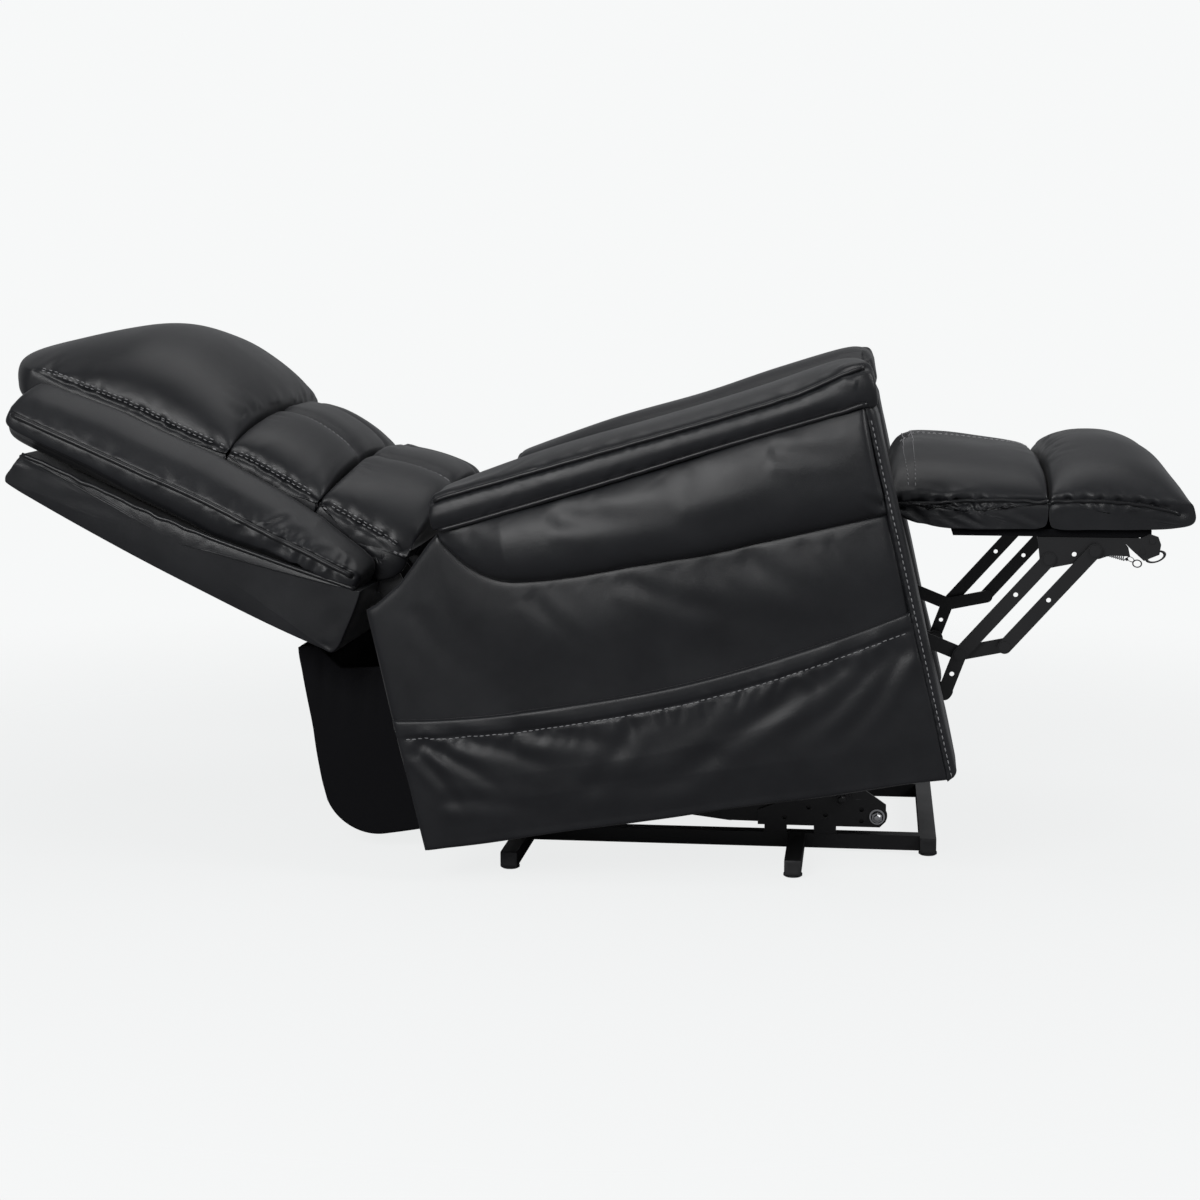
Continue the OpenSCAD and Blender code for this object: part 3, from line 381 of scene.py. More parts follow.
def round_edges(piece, width, segments=2, angle=30):
    soft = piece.modifiers.new("edge_radius", "BEVEL")
    soft.width = width
    soft.segments = segments
    soft.limit_method = "ANGLE"
    soft.angle_limit = math.radians(angle)
    bpy.context.view_layer.objects.active = piece
    bpy.ops.object.modifier_apply(modifier=soft.name)
    bpy.ops.object.select_all(action="DESELECT")
    piece.select_set(True)
    bpy.ops.object.shade_smooth_by_angle(angle=math.radians(40))


def end_plug(name, centre, size, side):
    """A plug on a square tube that ends at a face whose outward side is -1 or 1 on Y."""
    head = PLUG_HEAD * MM
    bpy.ops.mesh.primitive_cube_add(size=1, location=(centre[0], centre[1] + side * head / 2, centre[2]))
    plug = bpy.context.object
    plug.scale = (size[0], head, size[1])
    bpy.ops.object.transform_apply(location=False, rotation=False, scale=True)
    select_faces(plug, lambda face: face.normal.y * side > 0.9)
    bpy.ops.mesh.inset(thickness=size[0] * 0.22)
    bpy.ops.transform.translate(value=(0, -side * 0.6 * MM, 0))
    select_faces(plug, lambda face: face.normal.y * side < -0.9)
    bpy.ops.mesh.inset(thickness=size[0] * 0.13)
    bpy.ops.mesh.extrude_region_move(TRANSFORM_OT_translate={"value": (0, -side * 9 * MM, 0)})
    bpy.ops.object.mode_set(mode="OBJECT")
    round_edges(plug, PLUG_BEVEL * MM)
    settle(plug, name, finishes["black_plastic"], "base")


for tube in ("front_cross_tube", "rear_cross_tube", "front_outriggers", "rear_outriggers"):
    low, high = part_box(tube)
    for side, end in ((-1, low.y), (1, high.y)):
        middle = ((low.x + high.x) / 2, end, (low.z + high.z) / 2)
        end_plug(f"{tube}_plug_{'right' if side < 0 else 'left'}", middle, (high.x - low.x, high.z - low.z),
            side)


# ---- Pivot nuts and washers ----
# The lift links turn on shouldered bolts, each held on the outside by a bright washer and a hexagon lock nut
# with a domed crown.
joint_at = {joint["name"]: Vector(joint["pos_m"]) for joint in frame["joints"] if joint.get("pos_m")}
WASHER = (11.5, 1.6)
NUT = (8.2, 6.0)
NUT_DOME = 1.8
UPPER_FINISH, LOWER_FINISH = "black_steel", "zinc_steel"
for blackened in ("lift_pivot_bolts", "lift_frame_pins"):
    give_finish(frame["nodes"][blackened], finishes["black_steel"])


def turned_disc(centre, radius, height, sides, side):
    bpy.ops.mesh.primitive_cylinder_add(
        vertices=sides, radius=radius, depth=height, location=centre, rotation=(math.radians(90), 0, 0)
    )
    disc = bpy.context.object
    bpy.ops.object.transform_apply(location=False, rotation=True, scale=True)
    select_faces(disc, lambda face: face.normal.y * side > 0.9)
    return disc


def lock_nut(name, pivot, y, body, finish):
    side = 1 if y > 0 else -1
    thick = WASHER[1] * MM
    washer = turned_disc((pivot.x, y + side * thick / 2, pivot.z), WASHER[0] * MM, thick, 32, side)
    bpy.ops.mesh.inset(thickness=0.9 * MM)
    bpy.ops.object.mode_set(mode="OBJECT")
    round_edges(washer, 0.3 * MM)
    settle(washer, name + "_washer", finishes[finish], body)
    tall = NUT[1] * MM
    nut = turned_disc((pivot.x, y + side * (thick + tall / 2), pivot.z), NUT[0] * MM, tall, 6, side)
    bpy.ops.mesh.inset(thickness=1.6 * MM)
    bpy.ops.mesh.extrude_region_move(TRANSFORM_OT_translate={"value": (0, side * NUT_DOME * MM, 0)})
    bpy.ops.transform.resize(value=(0.7, 1, 0.7))
    bpy.ops.object.mode_set(mode="OBJECT")
    round_edges(nut, 0.5 * MM)
    settle(nut, name + "_nut", finishes[finish], body)


low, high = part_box("lift_pivot_bolts")
for side, y in (("right", low.y), ("left", high.y)):
    lock_nut(f"upper_link_{side}", joint_at["upper_lift_link_turn"], y, "base", UPPER_FINISH)
    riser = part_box("riser_plates")[0 if side == "right" else 1].y
    lock_nut(f"lower_link_{side}", joint_at["lift"], riser + (-0.5 if side == "right" else 0.5) * MM,
        "base", LOWER_FINISH)


# ---- Black leather ----
# Smooth corrected-grain hide with a fine pebble, dyed nearly black with a cool cast, and slightly shinier
# where it is stretched. It covers every cushion and panel over foam and fibre.
def leather_group():
    group, given, result = node_group(
        "leather_grain",
        [("Cells", "NodeSocketFloat", 700.0)],
        [("Height", "NodeSocketFloat"), ("Tone", "NodeSocketFloat")],
    )
    where = group.nodes.new("ShaderNodeTexCoord")
    drift = add_node(group, "ShaderNodeTexNoise", Scale=90.0, Detail=2.0)
    push = add_node(group, "ShaderNodeMixRGB", blend_type="LINEAR_LIGHT")
    push.inputs["Fac"].default_value = 0.0012
    group.links.new(where.outputs["Object"], push.inputs["Color1"])
    group.links.new(drift.outputs["Color"], push.inputs["Color2"])
    group.links.new(where.outputs["Object"], drift.inputs["Vector"])
    pebble = add_node(group, "ShaderNodeTexVoronoi", feature="DISTANCE_TO_EDGE")
    group.links.new(push.outputs["Color"], pebble.inputs["Vector"])
    group.links.new(given.outputs["Cells"], pebble.inputs["Scale"])
    fine = add_node(group, "ShaderNodeTexNoise", Scale=2600.0, Detail=2.0)
    group.links.new(where.outputs["Object"], fine.inputs["Vector"])
    pores = ranged(group, pebble.outputs["Distance"], 0, 1, 0.0, 0.22)
    total = add_node(group, "ShaderNodeMath", operation="MULTIPLY_ADD")
    group.links.new(fine.outputs["Fac"], total.inputs[0])
    total.inputs[1].default_value = 0.25
    group.links.new(pores, total.inputs[2])
    group.links.new(total.outputs["Value"], result.inputs["Height"])
    cloud = add_node(group, "ShaderNodeTexNoise", Scale=11.0, Detail=5.0, Roughness=0.6)
    group.links.new(where.outputs["Object"], cloud.inputs["Vector"])
    group.links.new(ranged(group, cloud.outputs["Fac"], 0, 1, 0.3, 0.7), result.inputs["Tone"])
    return group


grain = leather_group()


def leather(name, dark, light, smooth, rough, cells=700.0, depth=0.16):
    material, tree, shader = finish_material(name)
    hide = use_group(tree, grain, Cells=cells)
    tree.links.new(mixed_colour(tree, hide.outputs["Tone"], dark, light), shader.inputs["Base Color"])
    tree.links.new(ranged(tree, hide.outputs["Tone"], smooth, rough), shader.inputs["Roughness"])
    tree.links.new(bump(tree, hide.outputs["Height"], depth, 0.0004), shader.inputs["Normal"])
    shader.inputs["Specular IOR Level"].default_value = 0.36
    shader.inputs["Sheen Weight"].default_value = 0.05
    shader.inputs["Sheen Roughness"].default_value = 0.4
    return material


black_leather = leather("black_leather", (0.0078, 0.0082, 0.0098), (0.0125, 0.0131, 0.0152), 0.33, 0.43)
piping_leather = leather("piping_leather", (0.0070, 0.0072, 0.0085), (0.0110, 0.0115, 0.0130), 0.28, 0.38,
    900.0, 0.1)


def sewing_thread():
    material, tree, shader = finish_material("sewing_thread", 0.6)
    where = tree.nodes.new("ShaderNodeTexCoord")
    twist = add_node(tree, "ShaderNodeTexNoise", Scale=1600.0, Detail=1.0)
    tree.links.new(where.outputs["Object"], twist.inputs["Vector"])
    tree.links.new(mixed_colour(tree, twist.outputs["Fac"], (0.14, 0.14, 0.145), (0.34, 0.34, 0.35)),
        shader.inputs["Base Color"])
    tree.links.new(bump(tree, twist.outputs["Fac"], 0.4, 0.0003), shader.inputs["Normal"])
    return material


thread = sewing_thread()


# ---- Seat cushion ----
# A high-resilience foam cushion with a fibre topper in a leather cover, resting on the zigzag springs between
# the arms. Its front edge rolls over as a waterfall, and a piped seam runs along each side.
BODY_TURN = -9.5
BODY_AT = (60.4, 0, 45.7)
BODY = (
    Matrix.Translation(joint_at["seat_tilt"])
    @ Matrix.Rotation(math.radians(BODY_TURN), 4, "Y")
    @ Matrix.Scale(MM, 4)
    @ Matrix.Translation([-c for c in BODY_AT])
)
SEAT_HALF = 274
SEAT_SEAM = 405
SEAT_PROFILE = [
    (72, 338), (300, 336), (500, 336), (620, 338), (648, 346), (667, 377), (688, 409), (683, 440), (633, 455),
    (540, 449), (360, 435), (230, 427), (165, 405), (110, 371), (62, 363),
]


def curve_through(points, count, closed=False):
    """Points at even steps of parameter along a smooth curve through the given ones."""
    p = np.array(points, float)
    m = len(p)
    spans = m if closed else m - 1
    t = np.linspace(0, spans, count, endpoint=not closed)
    i = np.minimum(t.astype(int), spans - 1)
    f = (t - i)[:, None]
    pick = (lambda k: p[k % m]) if closed else (lambda k: p[np.clip(k, 0, m - 1)])
    a, b, c, d = pick(i - 1), pick(i), pick(i + 1), pick(i + 2)
    return 0.5 * (2 * b + (c - a) * f + (2 * a - 5 * b + 4 * c - d) * f**2 + (3 * b - a - 3 * c + d) * f**3)


def even_line(points, step):
    """A smooth curve through the points, cut at even lengths."""
    dense = curve_through(points, 40 * len(points))
    run = np.concatenate([[0], np.cumsum(np.linalg.norm(np.diff(dense, axis=0), axis=1))])
    count = max(3, int(run[-1] / step) + 1)
    at = np.linspace(0, run[-1], count)
    return np.stack([np.interp(at, run, dense[:, k]) for k in range(3)], axis=1)


def placed(points, place):
    p = np.asarray(points, float).reshape(-1, 3)
    m = np.array(place)
    return p @ m[:3, :3].T + m[:3, 3]


def new_mesh(name, points, faces, place):
    mesh = bpy.data.meshes.new(name)
    mesh.from_pydata(placed(points, place).tolist(), [], faces)
    piece = bpy.data.objects.new(name, mesh)
    scene.collection.objects.link(piece)
    work = bmesh.new()
    work.from_mesh(mesh)
    bmesh.ops.remove_doubles(work, verts=work.verts, dist=1e-6)
    bmesh.ops.recalc_face_normals(work, faces=work.faces)
    work.to_mesh(mesh)
    work.free()
    for face in mesh.polygons:
        face.use_smooth = True
    return piece


def loft(name, rings, place):
    """A closed skin over rings of as many points each, its two ends closed at their middles."""
    rings = np.asarray(rings, float)
    m, n = rings.shape[:2]
    points = np.concatenate([rings.reshape(-1, 3), rings[0].mean(0)[None], rings[-1].mean(0)[None]])
    faces = []
    for i in range(m - 1):
        for j in range(n):
            a, b = i * n + j, i * n + (j + 1) % n
            faces.append((a, b, b + n, a + n))
    for j in range(n):
        faces.append((m * n, (j + 1) % n, j))
        faces.append((m * n + 1, (m - 1) * n + j, (m - 1) * n + (j + 1) % n))
    return new_mesh(name, points, faces, place)


def dome(u, power=2.4, root=0.5):
    """Height share of a stuffed face: 1 in its middle, 0 at its sewn sides."""
    return np.maximum(0, 1 - np.abs(u) ** power) ** root


def with_side_walls(rings, bulge):
    """Adds rings that close each end of a cushion as a gently swollen side wall."""
    shares = (0.03, 0.1, 0.25, 0.45, 0.68, 0.88)
    ends = []
    for ring, side in ((rings[0], -1), (rings[-1], 1)):
        centre = ring.mean(0)
        wall = []
        for t in shares:
            inner = centre + (ring - centre) * (1 - t)
            inner[:, 1] = ring[0, 1] + side * bulge * (1 - (1 - t) ** 3)
            wall.append(inner)
        ends.append(wall)
    return np.array(ends[0][::-1] + list(rings) + ends[1])


def stations(half, count):
    return half * np.sin(np.linspace(-math.pi / 2, math.pi / 2, count))


def near_line(points, line):
    """For each point: distance to the line, and how far along it the nearest place lies, both in metres."""
    start, step = line[:-1], np.diff(line, axis=0)
    length = np.linalg.norm(step, axis=1)
    run = np.concatenate([[0], np.cumsum(length)])[:-1]
    best = np.full(len(points), 1e9)
    along = np.zeros(len(points))
    for a, d, size, so_far in zip(start, step, length, run):
        t = np.clip(((points - a) @ d) / (size * size + 1e-12), 0, 1)
        gap = np.linalg.norm(points - a - t[:, None] * d, axis=1)
        closer = gap < best
        best[closer] = gap[closer]
        along[closer] = so_far + t[closer] * size
    return best, along


FOLD_DEPTH = 1.5


class Surface:
    """A skin that is worked by pressing its points in and out along their normals, in metres."""

    def __init__(self, piece):
        self.piece = piece
        self.count = len(piece.data.vertices)
        self.refresh()

    def refresh(self):
        self.piece.data.update()
        self.co = np.empty(self.count * 3)
        self.piece.data.vertices.foreach_get("co", self.co)
        self.co = self.co.reshape(-1, 3)
        self.normal = np.empty(self.count * 3, np.float32)
        self.piece.data.vertices.foreach_get("normal", self.normal)
        self.normal = self.normal.reshape(-1, 3).astype(float)

    def push(self, amount):
        self.co = self.co + self.normal * amount[:, None]
        self.piece.data.vertices.foreach_set("co", self.co.ravel())
        self.refresh()

    def window(self, line, reach):
        low, high = line.min(0) - reach, line.max(0) + reach
        return np.where(((self.co > low) & (self.co < high)).all(1))[0]

    def press(self, line, width, depth, facing=None):
        """A sewn groove along a line."""
        width, depth = width * MM, depth * MM
        near = self.window(line, 3 * width)
        gap, _ = near_line(self.co[near], line)
        amount = np.zeros(self.count)
        amount[near] = -depth * np.exp(-((gap / width) ** 2))
        if facing is not None:
            amount *= np.clip(self.normal @ np.array(facing) * 2, 0, 1)
        self.push(amount)

    def crease(self, start, end, width, depth, bow=0.0, fade=1.3):
        """One fold: a valley between two soft ridges, deepest near its start."""
        start, end = np.array(start, float), np.array(end, float)
        middle = (start + end) / 2
        across = np.cross(end - start, self.normal[np.argmin(np.linalg.norm(self.co - middle, axis=1))])
        middle = middle + across * bow
        t = np.linspace(0, 1, 9)[:, None]
        line = (1 - t) ** 2 * start + 2 * t * (1 - t) * middle + t**2 * end
        width, depth = width * MM, depth * MM
        near = self.window(line, 4 * width)
        if not len(near):
            return
        gap, along = near_line(self.co[near], line)
        share = along / (np.linalg.norm(np.diff(line, axis=0), axis=1).sum() + 1e-9)
        strength = np.clip(share / 0.1, 0, 1) * (1 - share) ** fade
        shape = 0.5 * np.exp(-(((gap - 1.9 * width) / width) ** 2)) - np.exp(-((gap / width) ** 2))
        amount = np.zeros(self.count)
        amount[near] = FOLD_DEPTH * depth * strength * shape
        self.push(amount)

    def gather(self, line, into, count, length, width, depth, seed, lean=0.5, part=(0.0, 1.0)):
        """Small folds that run off a seam where the leather is drawn up, in the direction of into."""
        dice = np.random.default_rng(seed)
        into = np.array(into, float)
        into /= np.linalg.norm(into)
        for k in range(count):
            at = part[0] + (part[1] - part[0]) * (k + dice.uniform(0.1, 0.9)) / count
            i = min(int(at * (len(line) - 1)), len(line) - 2)
            along = line[i + 1] - line[i]
            along /= np.linalg.norm(along) + 1e-9
            way = into + along * dice.uniform(-lean, lean)
            reach = length * MM * dice.uniform(0.45, 1.1)
            self.crease(
                line[i], line[i] + way * reach, width * dice.uniform(0.7, 1.3),
                depth * dice.uniform(0.4, 1.1),
                dice.uniform(-0.12, 0.12),
            )

    def rumple(self, size, depth, seed):
        """Broad unevenness of foam under leather."""
        dice = np.random.default_rng(seed)
        amount = np.zeros(self.count)
        for _ in range(7):
            wave = dice.normal(size=3)
            wave *= 2 * math.pi / (size * MM * dice.uniform(0.7, 1.6)) / np.linalg.norm(wave)
            amount += np.sin(self.co @ wave + dice.uniform(0, 6.28))
        self.push(amount * depth * MM / 3)

    def tree(self):
        mesh = self.piece.data
        return BVHTree.FromPolygons([v.co[:] for v in mesh.vertices], [p.vertices[:] for p in mesh.polygons])


def puff(piece, held, pressure, cap, frames=18):
    """Blows a cushion's skin up like stuffing under leather, with the held points sewn down."""
    bpy.ops.object.select_all(action="DESELECT")
    piece.select_set(True)
    bpy.context.view_layer.objects.active = piece
    start = np.empty(len(piece.data.vertices) * 3)
    piece.data.vertices.foreach_get("co", start)
    start = start.reshape(-1, 3)
    sewn = piece.vertex_groups.new(name="sewn")
    for i, weight in enumerate(held):
        if weight > 0.02:
            sewn.add([i], float(weight), "REPLACE")
    cover = piece.modifiers.new("cover", "CLOTH")
    settings = cover.settings
    settings.quality = 4
    settings.mass = 0.35
    settings.tension_stiffness = settings.compression_stiffness = 28
    settings.shear_stiffness = 12
    settings.bending_stiffness = 1.2
    settings.use_pressure = True
    settings.uniform_pressure_force = pressure
    settings.vertex_group_mass = "sewn"
    settings.effector_weights.gravity = 0
    cover.point_cache.frame_start = 1
    cover.point_cache.frame_end = frames
    for number in range(1, frames + 1):
        scene.frame_set(number)
    seen = piece.evaluated_get(bpy.context.evaluated_depsgraph_get())
    end = np.empty(len(start) * 3)
    seen.data.vertices.foreach_get("co", end)
    move = end.reshape(-1, 3) - start
    size = np.linalg.norm(move, axis=1)
    keep = cap * MM * np.tanh(size / (cap * MM)) / np.maximum(size, 1e-9)
    piece.modifiers.remove(cover)
    piece.vertex_groups.remove(sewn)
    scene.frame_set(1)
    piece.data.vertices.foreach_set("co", (start + move * keep[:, None]).ravel())
    piece.data.update()


def divide(piece, levels=1):
    finer = piece.modifiers.new("finer", "SUBSURF")
    finer.levels = finer.render_levels = levels
    bpy.context.view_layer.objects.active = piece
    bpy.ops.object.modifier_apply(modifier=finer.name)


def dress(piece, body, nodes, material=None):
    give_finish(piece, material or black_leather)
    for face in piece.data.polygons:
        face.use_smooth = True
    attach(piece, body)
    if nodes:
        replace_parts(piece, *nodes)
    return piece


STITCH = (6.2, 0.75)
STITCH_GAP = 2.4


def on_skin(tree, point):
    place, normal, _, _ = tree.find_nearest(Vector(point))
    return np.array(place), np.array(normal)


def sew(name, skin, line, body, sideways=0.0, lift=0.15):
    """A row of stitches on a skin, beside a seam line, each a short spindle of thread with sunk ends."""
    tree = skin.tree()
    run = even_line(line, (STITCH[0] + STITCH_GAP) * MM)
    ring = np.linspace(0, 2 * math.pi, 6, endpoint=False)
    points, faces = [], []
    for i in range(len(run) - 1):
        along = run[i + 1] - run[i]
        along /= np.linalg.norm(along) + 1e-12
        _, out = on_skin(tree, run[i])
        beside = np.cross(out, along)
        at, out = on_skin(tree, run[i] + beside * sideways * MM)
        along -= out * (along @ out)
        along /= np.linalg.norm(along) + 1e-12
        beside = np.cross(out, along)
        first = len(points)
        for share, size, rise in ((-0.5, 0.35, -0.5), (-0.25, 1, 0.25), (0.25, 1, 0.25), (0.5, 0.35, -0.5)):
            middle = at + along * share * STITCH[0] * MM + out * (lift + rise * 0.8) * MM
            for a in ring:
                points.append(middle + (beside * math.cos(a) + out * math.sin(a)) * STITCH[1] * size * MM)
        for r in range(3):
            for k in range(6):
                a, b = first + r * 6 + k, first + r * 6 + (k + 1) % 6
                faces.append((a, b, b + 6, a + 6))
        faces.append(tuple(first + k for k in range(5, -1, -1)))
        faces.append(tuple(first + 18 + k for k in range(6)))
    row = new_mesh(name, points, faces, Matrix.Identity(4))
    return dress(row, body, (), thread)


def tube_along(name, line, radius, sides=10):
    """A round tube along a line of points, in metres, closed at both ends."""
    tangent = np.gradient(line, axis=0)
    tangent /= np.linalg.norm(tangent, axis=1)[:, None] + 1e-12
    side = np.cross(tangent[0], (0.3, 0.2, 0.93))
    rings = []
    for at, along in zip(line, tangent):
        side = side - along * (side @ along)
        side /= np.linalg.norm(side) + 1e-12
        up = np.cross(along, side)
        rings.append([at + (side * math.cos(a) + up * math.sin(a)) * radius for a in np.linspace(0,
            2 * math.pi, sides, endpoint=False)])
    return loft(name, rings, Matrix.Identity(4))


def piping(name, skin, line, body, radius=3.0, rise=0.55):
    """A piped seam: a cord under a strip of leather, half sunk in the skin along a line."""
    tree = skin.tree()
    run = even_line(line, 7 * MM)
    seat = []
    for point in run:
        at, out = on_skin(tree, point)
        seat.append(at + out * radius * rise * MM)
    seat = np.array(seat)
    seat[1:-1] = (seat[:-2] + seat[1:-1] * 2 + seat[2:]) / 4
    return dress(tube_along(name, seat, radius * MM, 12), body, (), piping_leather)


def crowned_rings(profile, seam, half, count, around):
    outline = curve_through(profile, around, closed=True)
    rings = []
    for y in stations(half, count):
        s = float(dome(y / half))
        ring = np.stack([outline[:, 0], np.full(around, y), outline[:, 1]], axis=1)
        over = outline[:, 1] > seam
        ring[over, 2] = seam + (outline[over, 1] - seam) * s
        rings.append(ring)
    return np.array(rings)


def body_line(points, step=5):
    return even_line(placed(points, BODY), step * MM)


def seat_cushion():
    rings = crowned_rings(SEAT_PROFILE, SEAT_SEAM, SEAT_HALF, 60, 120)
    cover = loft("seat_cover", with_side_walls(rings, 2), BODY)
    skin = Surface(cover)
    seams = {side: [(x, side * SEAT_HALF, SEAT_SEAM) for x in (165, 300, 450, 650)] for side in (-1, 1)}
    held = np.zeros(skin.count)
    for line in seams.values():
        gap, _ = near_line(skin.co, body_line(line, 14))
        held = np.maximum(held, np.exp(-((gap / 0.014) ** 2)))
    body = np.array(BODY.inverted())
    local = skin.co @ body[:3, :3].T + body[:3, 3]
    held = np.maximum(held, np.clip((352 - local[:, 2]) / 14, 0, 1))
    puff(cover, held, 2.4, 6)
    divide(cover)
    skin = Surface(cover)
    skin.rumple(210, 1.6, 5)
    for side, line in seams.items():
        seam = body_line(line)
        skin.press(seam, 5, 2.5)
        skin.gather(seam, (0, -side * 0.5, 1), 14, 70, 7, 2.2, 15 + side, 0.4)
    nose = body_line([(640, y, 452) for y in (-250, -90, 90, 250)])
    skin.press(nose, 5, 2.5)
    skin.gather(nose, (-1, 0, 0), 12, 60, 7, 1.6, 19, 0.4)
    sew("seat_nose_stitches", skin, nose, "seat", 5)
    dress(cover, "seat", ("seat_cushion",))


seat_cushion()


# ---- Arm sides ----
# Each arm is a timber box under foam and leather. The side is two panels, a fuller one above a curved seam
# and a flat one below it, with a plain inner panel towards the seat.
LEAN = 36.6 / 519.5
FRONT_BAND = 13
SIDE_FACE = 445
SIDE_THICK = 15
CURVED_SEAM = [(94, 436), (104, 420), (130, 388), (165, 364), (210, 355), (300, 353), (450, 357),
    (600, 364), (760, 373)]
REAR_TOP = [(-24, 346), (-8, 352), (30, 376), (80, 425)]
ARM_TOP = [(94, 440), (400, 478), (704, 521), (760, 529)]


def front_edge(z):
    return 743 - LEAN * np.asarray(z, float)


def rear_edge(z):
    return -24 * np.asarray(z, float) / 348


def on_table(table, x):
    return np.interp(x, [p[0] for p in table], [p[1] for p in table])


def smooth_table(points):
    curve = curve_through(points, 16 * len(points))
    return [tuple(p) for p in curve]


SIDE_SEAM = smooth_table(CURVED_SEAM)


def upright_height(u, table):
    """Where an upright of the side panel, u of the way from rear to front, meets a line above it."""
    z = 380.0
    for _ in range(40):
        x = rear_edge(z) + u * (front_edge(z) - FRONT_BAND - rear_edge(z))
        z = 0.5 * z + 0.5 * float(on_table(table, x))
    return z


def panel(name, side, corner, face, back_y, columns, rows, place=None):
    """A thin stuffed panel: a fine outer face over a plain back, closed all round."""
    v = np.linspace(0, 1, rows)
    v = 0.5 - 0.5 * np.sin(np.pi * (0.5 - v)) * 0.25 - 0.75 * (0.5 - v)
    v = (v - v[0]) / (v[-1] - v[0])
    rings = []
    for u in np.linspace(0, 1, columns):
        x, z = corner(u, v)
        y = face(x, z, u, v)
        outer = np.stack([x, side * y, z], axis=1)
        inner = np.stack([x[[-1, rows // 2, 0]], np.full(3, side * back_y), z[[-1, rows // 2, 0]]], axis=1)
        rings.append(np.concatenate([outer, inner]))
    return loft(name, rings, BODY if place is None else place)


def soft_edge(u, power, deep=0.45):
    return 1 - deep + deep * np.maximum(0, 1 - np.abs(2 * np.asarray(u) - 1) ** power) ** 0.5


def arm_side(side):
    word = "right" if side < 0 else "left"
    top = REAR_TOP + SIDE_SEAM

    def lower_corner(u, v):
        high = upright_height(u, top)
        z = 1.5 + v * (high + 2)
        return rear_edge(z) + u * (front_edge(z) - FRONT_BAND + 2 - rear_edge(z)), z

    def lower_face(x, z, u, v):
        full = 7 * np.exp(-(((on_table(top, x) - 66 - z) / 60) ** 2)) * np.clip((x - 40) / 160, 0, 1)
        return SIDE_FACE - SIDE_THICK + (SIDE_THICK + full) * soft_edge(u, 90) * soft_edge(v, 40)

    lower = panel(f"{word}_side_cover", side, lower_corner, lower_face, SIDE_FACE - SIDE_THICK, 230, 120)
    skin = Surface(lower)
    skin.rumple(240, 1.5, 101 + side)
    seam = body_line([(x, side * (SIDE_FACE + 3), z - 4) for x, z in CURVED_SEAM[3:]])
    skin.gather(seam, (0.5, 0, -1), 9, 110, 13, 0.6, 111 + side, 0.5)
    for k, (x, z, dx, dz, width, depth) in enumerate((
        (330, 345, 150, -70, 12, 2.0), (500, 350, 130, -88, 14, 1.8), (205, 340, 90, -95, 11, 1.6),
        (620, 352, 60, -80, 9, 1.3), (40, 350, 80, -120, 13, 1.2), (410, 300, 170, -50, 15, 1.2),
    )):
        spot = placed([(x, side * SIDE_FACE, z), (x + dx, side * SIDE_FACE, z + dz)], BODY)
        skin.crease(spot[0], spot[1], width, depth * 0.5, 0.12, 0.8)
    dress(lower, "seat", ("side_panels",))

    def upper_corner(u, v):
        x = 97 + u * (front_edge(450) - FRONT_BAND + 2 - 97)
        low, high = on_table(SIDE_SEAM, x) - 1, on_table(ARM_TOP, x) + 0.5
        z = low + v * (high - low)
        return x + u * (front_edge(z) - front_edge(450)), z

    def upper_face(x, z, u, v):
        full = np.clip((x - 96) / 90, 0.1, 1)
        roll = (1 - np.abs(2 * v**0.8 - 1) ** 2.2) ** 0.75
        sunk = np.where(v < 0.45, -4.0, 4.0)
        return SIDE_FACE + (sunk + (24 * full - sunk) * roll) * soft_edge(u, 60)

    upper = panel(f"{word}_upper_side_cover", side, upper_corner, upper_face, SIDE_FACE - SIDE_THICK, 200, 60)
    skin = Surface(upper)
    skin.rumple(170, 1.3, 121 + side)
    low_seam = body_line([(x, side * (SIDE_FACE + 2), z + 8) for x, z in CURVED_SEAM[1:]])
    skin.gather(low_seam, (1, 0, 0.9), 10, 80, 10, 0.8, 131 + side, 0.4)
    top_seam = body_line([(x, side * (SIDE_FACE + 4), z - 8) for x, z in ARM_TOP[:3]])
    skin.gather(top_seam, (1, 0, -0.8), 9, 90, 11, 0.7, 141 + side, 0.4)
    for x, z, dx, dz, width, depth in (
        (705, 380, -34, 26, 6, 3.2), (250, 440, 190, -20, 14, 2.2), (420, 395, 200, 30, 15, 1.8),
        (560, 480, 110, -18, 11, 1.6),
    ):
        spot = placed([(x, side * (SIDE_FACE + 10), z), (x + dx, side * (SIDE_FACE + 10), z + dz)], BODY)
        skin.crease(spot[0], spot[1], width, depth, 0.08, 0.8)
    dress(upper, "seat", ("upper_side_panels",))

    def inner_corner(u, v):
        x = 2 + u * (front_edge(300) - 18 - 2)
        low = 2 + 0 * v
        high = on_table([(0, 352), (30, 376), (80, 425)] + ARM_TOP, x) - 2
        return x + u * (front_edge(low + v * (high - low)) - front_edge(300)) * 0.8, low + v * (high - low)

    def inner_face(x, z, u, v):
        return 293 - 10.5 * soft_edge(u, 60, 1) * soft_edge(v, 40, 1)

    inner = panel(f"{word}_inner_cover", side, inner_corner, inner_face, 294.5, 90, 60)
    Surface(inner).rumple(200, 0.5, 151 + side)
    dress(inner, "seat", ("arm_inner_panels",))


for side in (-1, 1):
    arm_side(side)


# ---- Side pockets ----
# A flat pocket of thinner leather is sewn over the lower part of each arm side. Its open top edge is turned
# over and stitched as a hem, and the leather below hangs in shallow folds.
HEM = smooth_table([(-13, 193), (60, 184), (167, 178), (300, 179), (420, 186), (560, 206), (700, 236),
    (760, 249)])
HEM_DEEP = 25
POCKET_THICK = 6


